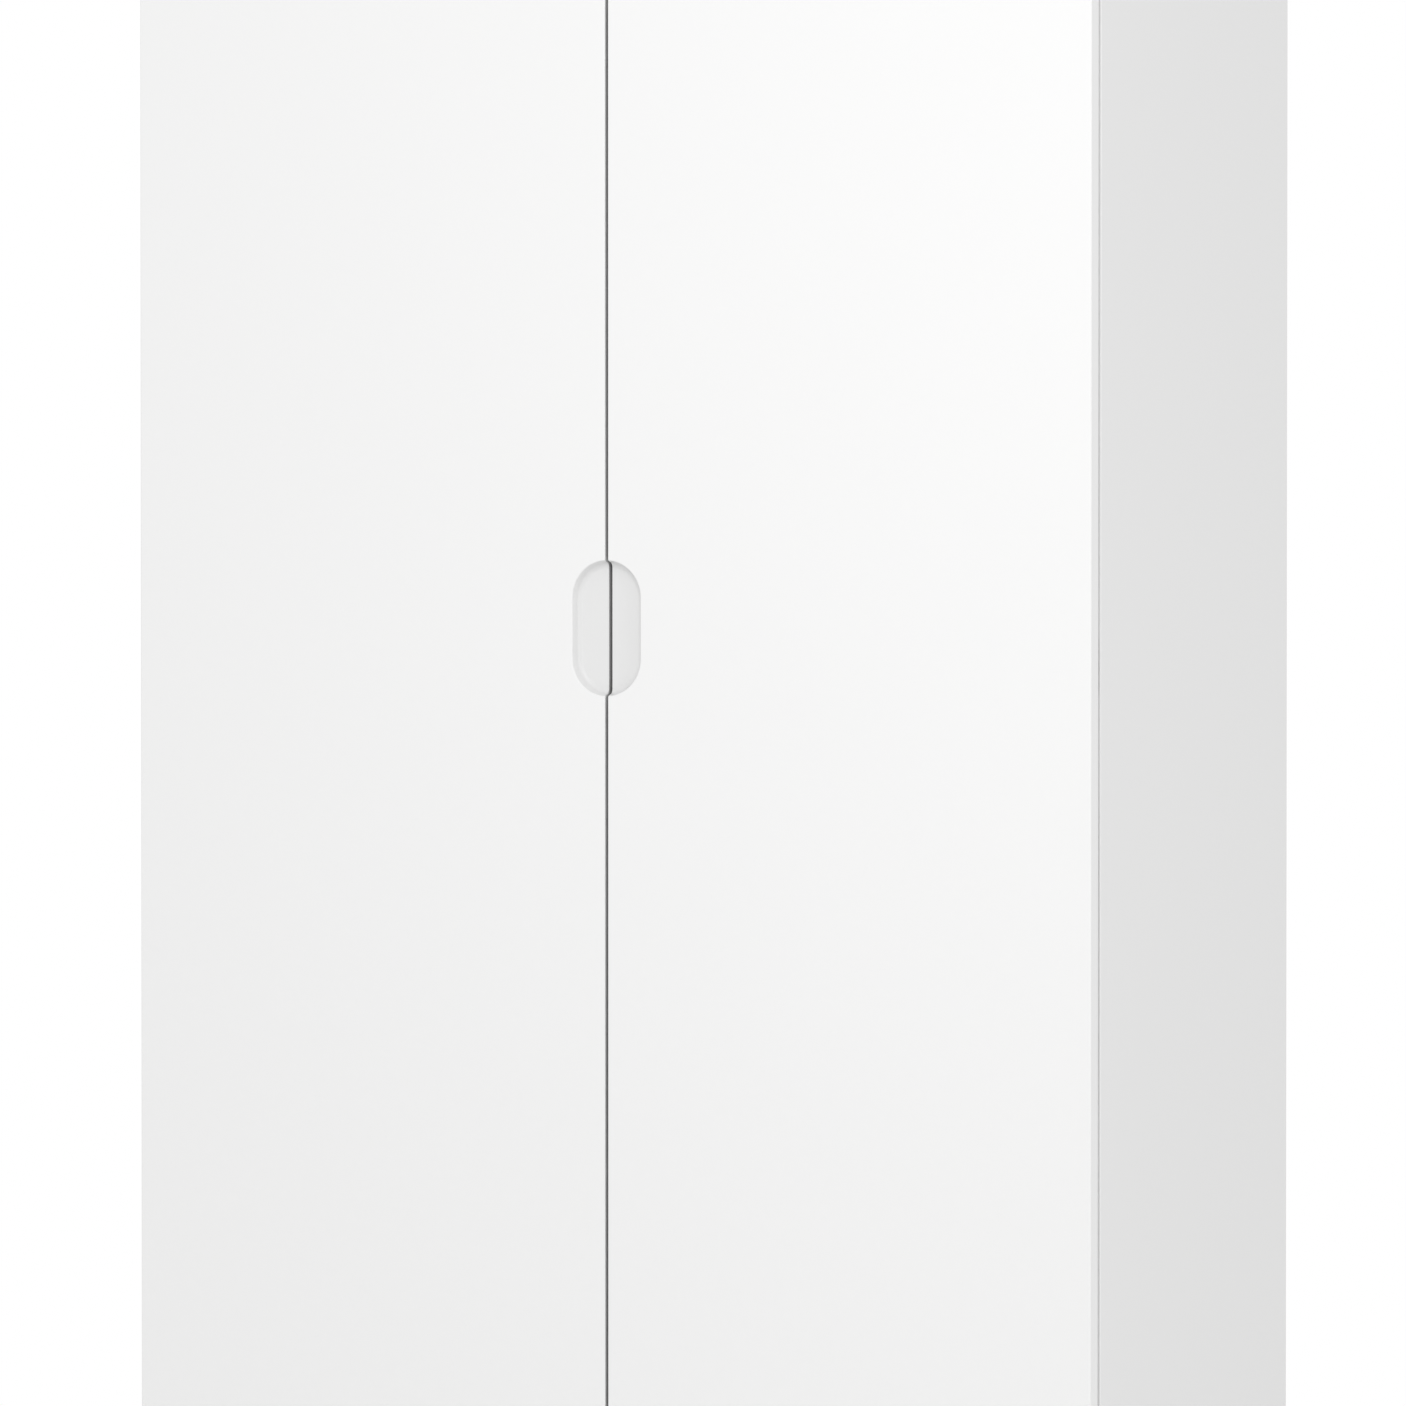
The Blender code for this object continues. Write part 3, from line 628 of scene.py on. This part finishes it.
def lacquer_finish(settings, doors):
    """Sprayed silk-gloss lacquer with a faint orange-peel surface, with shade painted in as darker lacquer
    in the pull and on the seam's edges.
    """
    finish = Finish("Silk Lacquer")
    grain = finish.grain(140.0, 2.5)
    base = settings.lacquer
    face = finish.tone(grain["Tone"], base, 0.006)
    # painted shade: darker lacquer inside the finger pull
    painted = finish.blend(recess_painted_shade_mask(finish, doors), face, shade(base, settings.pull_painted_shade))
    # painted shade: darker lacquer on the door edges in the seam's gap
    edged = finish.blend(seam_gap_shade_mask(finish), painted, shade(base, settings.seam_painted_shade))
    finish.feed("Base Color", edged)
    finish.gloss(settings.lacquer_gloss, 2.2, 0.07)
    finish.relief(grain["Height"], 0.00004, 0.10)


def board_finish(settings):
    """Melamine-faced board with a fine pebbled press grain."""
    finish = Finish("Melamine Board")
    grain = finish.grain(1400.0, 3.0)
    finish.feed("Base Color", finish.tone(grain["Tone"], settings.board, 0.008))
    finish.gloss(settings.board_gloss, 3.0, 0.08)
    finish.relief(grain["Height"], 0.00006, 0.18)


def hardboard_finish(settings):
    """Hardboard, painted white inside and raw pressed fibre outside."""
    finish = Finish("Hardboard Back")
    fibre = finish.grain(420.0, 14.0, (1.0, 1.0, 0.35))
    raw = finish.tone(fibre["Tone"], settings.hardboard, 0.22)
    depth = add_node(finish.tree, "ShaderNodeSeparateXYZ", {"Vector": finish.where}).outputs["Y"]
    outside = figure(finish.tree, "GREATER_THAN", depth, BACK_MIDDLE)
    finish.feed("Base Color", finish.blend(outside, shade(settings.board, 0.985), raw))
    finish.gloss(0.62, 5.0, 0.12)
    finish.relief(fibre["Height"], 0.00012, 0.35)


def plastic_finish(name, base, roughness, grain_scale):
    """Moulded plastic with a spark-eroded mould texture."""
    finish = Finish(name)
    grain = finish.grain(grain_scale, 30.0)
    finish.feed("Base Color", finish.tone(grain["Tone"], base, 0.015))
    finish.gloss(roughness, 12.0, 0.08)
    finish.relief(grain["Height"], 0.00003, 0.25)
    return finish


def metal_finish(name, base, roughness, stretch, grain_scale, depth):
    """Plated metal with a drawn or rolled direction in its grain."""
    finish = Finish(name, metallic=1.0)
    grain = finish.grain(grain_scale, 25.0, stretch)
    finish.feed("Base Color", finish.tone(grain["Tone"], base, 0.035))
    finish.gloss(roughness, 18.0, 0.10)
    finish.relief(grain["Height"], depth, 0.20)


def bumper_finish():
    """Clear soft elastomer, slightly milky."""
    finish = plastic_finish("Clear Bumper", (0.86, 0.87, 0.88), 0.22, 500.0)
    finish.shader.inputs["Transmission Weight"].default_value = 0.65
    finish.shader.inputs["IOR"].default_value = 1.49


def finish_named(name):
    """A finish made before."""
    return bpy.data.materials[name]


# ---------------------------------------------------------------- operators

class WARDROBE_OT_finishes(bpy.types.Operator):
    """Make the materials and give the frame's own nodes theirs"""
    bl_idname = "wardrobe.finishes"
    bl_label = "Finishes"

    def execute(self, context):
        settings = context.scene.wardrobe_finish
        fine_grain_group()
        handling_group()
        lacquer_finish(settings, context.scene.wardrobe_doors)
        board_finish(settings)
        hardboard_finish(settings)
        plastic_finish("Trim Plastic", settings.plastic, 0.42, 900.0)
        plastic_finish("Glide Plastic", settings.glide, 0.50, 700.0)
        metal_finish("Rail Chrome", settings.chrome, 0.10, (0.15, 1.0, 1.0), 300.0, 0.00001)
        metal_finish("Zinc Fitting", settings.steel, 0.34, (1.0, 1.0, 1.0), 500.0, 0.00003)
        metal_finish("Hinge Nickel", settings.steel, 0.24, (1.0, 1.0, 0.3), 400.0, 0.00002)
        bumper_finish()
        worn = {"back_panel_left": "Hardboard Back", "back_panel_right": "Hardboard Back",
                "back_joint_strip": "Trim Plastic"}
        for node, name in worn.items():
            for material_slot in frame["nodes"][node].material_slots:
                material_slot.material = finish_named(name)
        return {"FINISHED"}


def pull_wall(settings):
    """Depth and outward growth of the pull's wall and heel, from below the lip to the floor."""
    heel, depth, draft = settings.pull_heel, settings.pull_depth, settings.pull_draft
    turn = arc((0, 0), heel, 0.0, math.pi / 2, HEEL_STEPS)
    return [(settings.pull_lip, 0.0)] + [(depth - heel + y, -draft - heel + x) for x, y in turn]


def pull_profile(settings):
    """The whole wall of the pull: in front of the face, round the lip, down to the floor."""
    lip = settings.pull_lip
    turn = arc((0, 0), lip, -math.pi / 2, -math.pi, LIP_STEPS)[:-1]
    return [(-2 * lip, lip)] + [(lip + y, lip + x) for x, y in turn] + pull_wall(settings)


def pull_cutter(settings):
    """The stadium-shaped hollow of the finger pull."""
    rings = []
    for depth, grow in pull_profile(settings):
        outline = stadium(settings.pull_width / 2 + grow, settings.pull_length / 2 + grow,
                          settings.pull_arc_steps)
        rings.append([(x, DOOR_FRONT + depth, settings.pull_height + z) for x, z in outline])
    return skin("pull_cutter", rings)


def seam_cutter(settings, sign):
    """A swept cutter that rounds the hollow's edge along the seam, down one wall and up the other."""
    radius = settings.seam_round
    half = settings.pull_length / 2
    upper = [Vector((DOOR_FRONT + depth, half + grow)) for depth, grow in pull_wall(settings)]
    upper.insert(0, upper[0] + (upper[0] - upper[1]) * SWEEP_LEAD)
    route = upper + [Vector((point.x, -point.y)) for point in reversed(upper)]
    rounding = arc((radius, radius), radius, -math.pi / 2, -math.pi, SEAM_STEPS)
    section = [(-SWEEP_SPARE, -SWEEP_SPARE), (radius, -SWEEP_SPARE), *rounding, (-SWEEP_SPARE, radius)]
    rings = []
    for i, point in enumerate(route):
        before = route[max(i - 1, 0)]
        after = route[min(i + 1, len(route) - 1)]
        along = (after - before).normalized()
        inward = Vector((-along.y, along.x))
        ring = []
        for across, deep in section:
            spot = point + inward * deep
            ring.append((sign * (SEAM_HALF + across), spot.x, settings.pull_height + spot.y))
        rings.append(ring)
    return skin("seam_cutter", rings)


class WARDROBE_OT_doors(bpy.types.Operator):
    """Make both doors with their halves of the finger pull and their hinge bores"""
    bl_idname = "wardrobe.doors"
    bl_label = "Doors"

    def execute(self, context):
        settings = context.scene.wardrobe_doors
        for side, sign in SIDES.items():
            node = side + "_door_panel"
            low, high = corners(node)
            board = softened_box(node, low, high, settings.edge_radius, settings.edge_steps)
            cutters = [pull_cutter(settings), seam_cutter(settings, sign)]
            cutters += [self.cup_bore("hinge_cup_%s_%s" % (side, level)) for level in LEVELS]
            mesh = dressed(node, carve(node, board, cutters))
            settle(side + "_door", mesh, side + "_door", finish_named("Silk Lacquer"), [node])
        return {"FINISHED"}

    @staticmethod
    def cup_bore(node):
        """Cutter for the bore round a hinge cup, from below the cup's floor to behind the door."""
        cup = [vertex.co for vertex in frame["nodes"][node].data.vertices
               if vertex.co.y < DOOR_BACK - CUP_COLLAR]
        across = [point.x for point in cup]
        heights = [point.z for point in cup]
        radius = (max(heights) - min(heights)) / 2 + BORING_SLACK
        floor = corners(node)[0].y - BORING_SLACK
        place = ((min(across) + max(across)) / 2, floor, middle(node).z)
        profile = [(radius, 0.0), (radius, DOOR_BACK + BORE_OVERRUN - floor)]
        return turned("bore", profile, (0, 1, 0), place, BORE_SIDES)


def hole_places(settings, side, sign):
    """Where the shelf holes of one side board are: two rows in line with the shelf pins."""
    inner = min(abs(corner.x) for corner in corners(side + "_side_panel"))
    places = []
    for end in ENDS:
        pin = "shelf_pin_%s_%s" % (side, end)
        row = middle(pin).y
        pin_axis = corners(pin)[0].z + SHELF_PIN_RADIUS
        first = math.ceil((settings.row_bottom - pin_axis) / settings.hole_pitch)
        last = math.floor((settings.row_top - pin_axis) / settings.hole_pitch)
        for step in range(first, last + 1):
            height = pin_axis + step * settings.hole_pitch
            places.append(((sign * inner, row, height), (sign, 0, 0)))
    return places


class WARDROBE_OT_boards(bpy.types.Operator):
    """Make the carcass boards with softened edge bands, and bore the rows of shelf holes"""
    bl_idname = "wardrobe.boards"
    bl_label = "Boards"

    def execute(self, context):
        settings = context.scene.wardrobe_boards
        finish = finish_named("Melamine Board")
        plain = ["top_panel", "bottom_panel", "hat_shelf", "plinth_front", "plinth_rear"]
        for node in plain + ["left_side_panel", "right_side_panel"]:
            low, high = corners(node)
            mesh = softened_box(node, low, high, settings.edge_radius, settings.edge_steps)
            if node not in plain:
                mesh = self.bored(settings, node.split("_")[0], mesh)
            settle(node + "_board", dressed(node, mesh), "carcass", finish, [node])
        return {"FINISHED"}

    @staticmethod
    def bored(settings, side, mesh):
        """A side board with its shelf holes."""
        tree = bpy.data.node_groups.get("Bored Holes") or boring_tree()
        holes = stand_in("holes", facing_points("holes", hole_places(settings, side, SIDES[side])))
        result = run_tree("bored", mesh, tree, {
            "Holes": holes, "Radius": settings.hole_radius, "Depth": settings.hole_depth,
            "Material": finish_named("Melamine Board")})
        bpy.data.objects.remove(holes)
        return result


def polished(node, radius):
    """A copy of a frame node, its triangles merged, its sharp edges softened by a small radius."""
    bm = bmesh.new()
    bm.from_mesh(frame["nodes"][node].data)
    bmesh.ops.remove_doubles(bm, verts=bm.verts, dist=MERGE_DISTANCE)
    bmesh.ops.dissolve_limit(bm, angle_limit=FLAT_ANGLE, verts=bm.verts, edges=bm.edges)
    sharp = [edge for edge in bm.edges if edge.is_manifold and edge.calc_face_angle() > SHARP_ANGLE]
    bmesh.ops.bevel(bm, geom=sharp, offset=radius, segments=2, profile=0.5, affect="EDGES",
                    clamp_overlap=True)
    mesh = bpy.data.meshes.new(node)
    bm.to_mesh(mesh)
    bm.free()
    return dressed(node, mesh)


class WARDROBE_OT_hinges(bpy.types.Operator):
    """Make the six concealed hinges: plates, arms, cups and links"""
    bl_idname = "wardrobe.hinges"
    bl_label = "Hinges"

    def execute(self, context):
        radius = context.scene.wardrobe_fittings.polish_radius
        for side in SIDES:
            bodies = {"hinge_plate": "carcass", "hinge_arm": "carcass", "hinge_cup": side + "_door",
                      "long_link": side + "_long_links", "short_link": side + "_short_links"}
            for kind, body in bodies.items():
                for level in LEVELS:
                    node = "%s_%s_%s" % (kind, side, level)
                    settle(node + "_metal", polished(node, radius), body, finish_named("Hinge Nickel"),
                           [node])
        return {"FINISHED"}


class WARDROBE_OT_rail(bpy.types.Operator):
    """Make the oval clothes rail, its sockets and the shelf pins"""
    bl_idname = "wardrobe.rail"
    bl_label = "Clothes Rail"

    def execute(self, context):
        settings = context.scene.wardrobe_fittings
        low, high = corners("hanging_rail")
        centre = (low + high) / 2
        wall = settings.rail_wall
        half_depth, half_height = (high.y - low.y) / 2, (high.z - low.z) / 2
        tube = self.tube(centre, low.x, high.x, half_depth, half_height)
        bore = self.tube(centre, low.x - wall, high.x + wall, half_depth - wall, half_height - wall)
        settle("clothes_rail", dressed("rail", carve("rail", tube, [bore])), "carcass",
               finish_named("Rail Chrome"), ["hanging_rail"])
        for side in SIDES:
            small = ["rail_socket_" + side] + ["shelf_pin_%s_%s" % (side, end) for end in ENDS]
            for node in small:
                settle(node + "_metal", polished(node, settings.polish_radius), "carcass",
                       finish_named("Zinc Fitting"), [node])
        return {"FINISHED"}

    @staticmethod
    def tube(centre, start, end, half_depth, half_height):
        """An upright oval, drawn out from one side to the other."""
        outline = stadium(half_depth, half_height, OVAL_STEPS)
        return skin("tube", [[(x, centre.y + y, centre.z + z) for y, z in outline] for x in (start, end)])


class WARDROBE_OT_feet(bpy.types.Operator):
    """Make the foot glides and the door bumpers"""
    bl_idname = "wardrobe.feet"
    bl_label = "Glides and Bumpers"

    def execute(self, context):
        for side in SIDES:
            for end in ENDS:
                node = "foot_glide_%s_%s" % (side, end)
                settle(node + "_plastic", self.glide(node), "carcass", finish_named("Glide Plastic"),
                       [node])
            for end in ("bottom", "top"):
                node = "door_bumper_%s_%s" % (side, end)
                settle(node + "_soft", self.bumper(node), side + "_door", finish_named("Clear Bumper"),
                       [node])
        return {"FINISHED"}

    @staticmethod
    def glide(node):
        """A round glide with a rolled lower edge."""
        low, high = corners(node)
        radius, height = (high.x - low.x) / 2, high.z - low.z
        roll = height * 0.35
        profile = [(radius - roll + x, roll + y)
                   for x, y in arc((0, 0), roll, -math.pi / 2, 0.0, 6)]
        profile += [(radius, height * 0.9), (radius * 0.96, height)]
        mesh = turned(node, profile, (0, 0, 1), (middle(node).x, middle(node).y, low.z))
        return dressed(node, mesh)

    @staticmethod
    def bumper(node):
        """A low dome stuck to the door."""
        low, high = corners(node)
        radius, height = (high.x - low.x) / 2, high.y - low.y
        profile = [(radius, 0.0), (radius, height * 0.2)]
        for step in range(1, 9):
            angle = math.pi / 2 * step / 9
            profile.append((radius * math.cos(angle) ** 0.6, height * (0.2 + 0.8 * math.sin(angle))))
        mesh = turned(node, profile, (0, 1, 0), (middle(node).x, low.y, middle(node).z))
        return dressed(node, mesh)


def flange_screws(sign, side):
    """Screws through the cup flanges of one door."""
    x = sign * (DOOR_EDGE - CUP_SCREW_U)
    flange = corners("hinge_cup_%s_middle" % side)[1].y
    return [((x, flange, height + step * CUP_SCREW_W), (0, 1, 0))
            for height in HINGE_HEIGHTS for step in (-1, 1)]


def plate_screws(sign, side):
    """Screws through the mounting plates, and the two that clamp and set each arm."""
    plate_face = min((corner.x for corner in corners("hinge_plate_%s_middle" % side)), key=abs)
    row = CARCASS_FRONT + PLATE_SCREW_V
    places = []
    for height in HINGE_HEIGHTS:
        places += [(plate_face, row, height + step * PLATE_SCREW_W) for step in (-1, 1)]
        places += [arm_surface(side, sign, v, height) for v in ARM_SCREWS_V]
    return [(place, (-sign, 0, 0)) for place in places]


def arm_surface(side, sign, v, height):
    """A point on the sloping inward face of a hinge arm, on the middle of its height."""
    points = [vertex.co for vertex in frame["nodes"]["hinge_arm_%s_middle" % side].data.vertices]
    start, end = (min(abs(point.x) for point in points if abs(point.y - CARCASS_FRONT - row) < 0.001)
                  for row in ARM_SLOPE_V)
    run = (v - ARM_SLOPE_V[0]) / (ARM_SLOPE_V[1] - ARM_SLOPE_V[0])
    return (sign * (start + (end - start) * run), CARCASS_FRONT + v, height)


def socket_screws(sign, side):
    """Screws above and below each rail socket."""
    low, high = corners("rail_socket_" + side)
    centre = (low + high) / 2
    wall = high.x if sign > 0 else low.x
    reach = (high.z - low.z) / 2 - SOCKET_SCREW_INSET
    face = wall - sign * SOCKET_PLATE
    return [((face, centre.y, centre.z + step * reach), (-sign, 0, 0)) for step in (-1, 1)]


def cap_places(settings, sign):
    """Caps over the cam fittings under the top and the bottom board."""
    inner = corners("top_panel")[1].x
    places = []
    for node in ("top_panel", "bottom_panel"):
        low, high = corners(node)
        for y in (low.y + CAP_ROW_INSET, high.y - CAP_ROW_INSET):
            places.append(((sign * (inner - settings.cap_inset), y, low.z), (0, 0, -1)))
    return places


def nail_places(settings, side, sign):
    """Nails round the outer edges of one back board."""
    low, high = corners("back_panel_" + side)
    outer = (high.x if sign > 0 else low.x) - sign * NAIL_INSET
    inner = (low.x if sign > 0 else high.x) + sign * NAIL_SEAM_INSET
    bottom, top = low.z + NAIL_INSET, high.z - NAIL_INSET
    rises = math.ceil((top - bottom) / settings.nail_pitch)
    spots = [(outer, bottom + (top - bottom) * i / rises) for i in range(rises + 1)]
    runs = math.ceil(abs(outer - inner) / settings.nail_pitch)
    for height in (bottom, top):
        spots += [(inner + (outer - inner) * i / runs, height) for i in range(runs)]
    return [((x, BACK_OUTER, z), (0, 1, 0)) for x, z in spots]


class WARDROBE_OT_fasteners(bpy.types.Operator):
    """Set the screws, cam caps and back nails with a geometry tree"""
    bl_idname = "wardrobe.fasteners"
    bl_label = "Fasteners"

    def execute(self, context):
        settings = context.scene.wardrobe_fittings
        tree = fastener_tree()
        screw = (settings.screw_radius, settings.screw_height, settings.recess_width)
        flat_screw = (settings.screw_radius, settings.flange_screw_height, settings.recess_width)
        cap = (settings.cap_radius, settings.cap_height, 0.0)
        nail = (settings.nail_radius, settings.nail_height, 0.0)
        plates, sockets, caps, nails = [], [], [], []
        for side, sign in SIDES.items():
            self.heads(tree, side + "_flange_screws", flange_screws(sign, side), flat_screw, side + "_door")
            plates += plate_screws(sign, side)
            sockets += socket_screws(sign, side)
            caps += cap_places(settings, sign)
            nails += nail_places(settings, side, sign)
        self.heads(tree, "hinge_plate_screws", plates, screw)
        self.heads(tree, "rail_socket_screws", sockets, screw)
        self.heads(tree, "cam_caps", caps, cap, finish="Trim Plastic", slot="trim_plastic")
        self.heads(tree, "back_nails", nails, nail)
        return {"FINISHED"}

    @staticmethod
    def heads(tree, name, places, head, body="carcass", finish="Zinc Fitting", slot="zinc_fitting"):
        """One set of like heads as one piece; a head is its radius, height and recess width."""
        values = dict(zip(("Head Radius", "Head Height", "Recess Width"), head))
        values["Material"] = finish_named(finish)
        mesh = run_tree(name, facing_points(name, places), tree, values)
        settle(name, dressed(name, mesh), body, finish_named(finish))


def studio_light(name, place, aim, size, power):
    """A rectangular light that the camera doesn't see."""
    lamp = bpy.data.lights.new(name, "AREA")
    lamp.shape = "RECTANGLE"
    lamp.size, lamp.size_y = size
    lamp.energy = power
    light = bpy.data.objects.new(name, lamp)
    light.location = place
    light.rotation_euler = (Vector(aim) - Vector(place)).to_track_quat("-Z", "Y").to_euler()
    light.visible_camera = False
    bpy.context.collection.objects.link(light)


def studio_world(strength):
    """A plain white surround: full white to the camera, softer as light."""
    world = bpy.data.worlds.new("Studio Surround")
    world.use_nodes = True
    tree = world.node_tree
    soft = tree.nodes["Background"]
    soft.inputs["Color"].default_value = (1.0, 1.0, 1.0, 1.0)
    soft.inputs["Strength"].default_value = strength
    clean = add_node(tree, "ShaderNodeBackground", {"Color": (1.0, 1.0, 1.0, 1.0)})
    seen = add_node(tree, "ShaderNodeLightPath").outputs["Is Camera Ray"]
    mix = add_node(tree, "ShaderNodeMixShader", {0: seen, 1: soft.outputs[0], 2: clean.outputs[0]})
    tree.links.new(mix.outputs[0], tree.nodes["World Output"].inputs["Surface"])
    bpy.context.scene.world = world


def floor_finish(radius):
    """Pale matt floor that fades out towards its rim."""
    finish = Finish("Studio Floor")
    grain = finish.grain(60.0, 1.5)
    finish.feed("Base Color", finish.tone(grain["Tone"], (0.86, 0.86, 0.86), 0.01))
    finish.shader.inputs["Roughness"].default_value = 0.6
    reach = add_node(finish.tree, "ShaderNodeVectorMath", {0: finish.where}, operation="LENGTH")
    fade = add_node(finish.tree, "ShaderNodeMapRange", {
        "Value": reach.outputs["Value"], "From Min": radius * 0.45, "From Max": radius * 0.98,
        "To Min": 1.0, "To Max": 0.0}, interpolation_type="SMOOTHSTEP")
    finish.feed("Alpha", fade.outputs["Result"])
    return finish.material


def studio_floor(radius):
    """A pale round floor under the wardrobe."""
    angles = [2 * math.pi * i / FLOOR_SIDES for i in range(FLOOR_SIDES)]
    mesh = bpy.data.meshes.new("studio_floor")
    ring = [(radius * math.cos(angle), radius * math.sin(angle), 0.0) for angle in angles]
    mesh.from_pydata(ring, [], [list(range(FLOOR_SIDES))])
    mesh.materials.append(floor_finish(radius))
    floor = bpy.data.objects.new("studio_floor", mesh)
    bpy.context.collection.objects.link(floor)


class WARDROBE_OT_studio(bpy.types.Operator):
    """Make the pale floor, the soft lights and the camera"""
    bl_idname = "wardrobe.studio"
    bl_label = "Studio"

    def execute(self, context):
        settings = context.scene.wardrobe_studio
        context.scene.view_settings.view_transform = "Standard"
        studio_world(settings.surround)
        studio_floor(settings.floor_radius)
        for name, stand in STUDIO_LIGHTS.items():
            studio_light(name, *stand, getattr(settings, name))
        lens = bpy.data.cameras.new("studio_camera")
        lens.lens = settings.camera_lens
        camera = bpy.data.objects.new("studio_camera", lens)
        camera.location = settings.camera_place
        camera.rotation_euler = (math.pi / 2 - settings.camera_tilt, 0.0, settings.camera_turn)
        context.collection.objects.link(camera)
        context.scene.camera = camera
        return {"FINISHED"}


# ---------------------------------------------------------------- panel and registration

SETTINGS = {
    "wardrobe_doors": WardrobeDoorSettings,
    "wardrobe_boards": WardrobeBoardSettings,
    "wardrobe_fittings": WardrobeFittingSettings,
    "wardrobe_finish": WardrobeFinishSettings,
    "wardrobe_studio": WardrobeStudioSettings,
}
OPERATORS = (
    WARDROBE_OT_finishes,
    WARDROBE_OT_doors,
    WARDROBE_OT_boards,
    WARDROBE_OT_hinges,
    WARDROBE_OT_rail,
    WARDROBE_OT_feet,
    WARDROBE_OT_fasteners,
    WARDROBE_OT_studio,
)


class WARDROBE_PT_panel(bpy.types.Panel):
    """The wardrobe's pieces and their sizes in the sidebar"""
    bl_idname = "WARDROBE_PT_panel"
    bl_label = "Two-Door Wardrobe"
    bl_space_type = "VIEW_3D"
    bl_region_type = "UI"
    bl_category = "Wardrobe"

    def draw(self, context):
        for operator in OPERATORS:
            self.layout.operator(operator.bl_idname)
        for name, group in SETTINGS.items():
            box = self.layout.box()
            for field in group.__annotations__:
                box.prop(getattr(context.scene, name), field)


def register():
    """Register the settings, the operators and the panel."""
    for name, group in SETTINGS.items():
        bpy.utils.register_class(group)
        setattr(bpy.types.Scene, name, PointerProperty(type=group))
    for item in OPERATORS + (WARDROBE_PT_panel,):
        bpy.utils.register_class(item)


def unregister():
    """Take everything out again."""
    for item in reversed(OPERATORS + (WARDROBE_PT_panel,)):
        bpy.utils.unregister_class(item)
    for name, group in SETTINGS.items():
        delattr(bpy.types.Scene, name)
        bpy.utils.unregister_class(group)


def main():
    """Make every piece in order."""
    register()
    for operator in OPERATORS:
        group, name = operator.bl_idname.split(".")
        getattr(getattr(bpy.ops, group), name)()


if __name__ == "__main__":
    main()
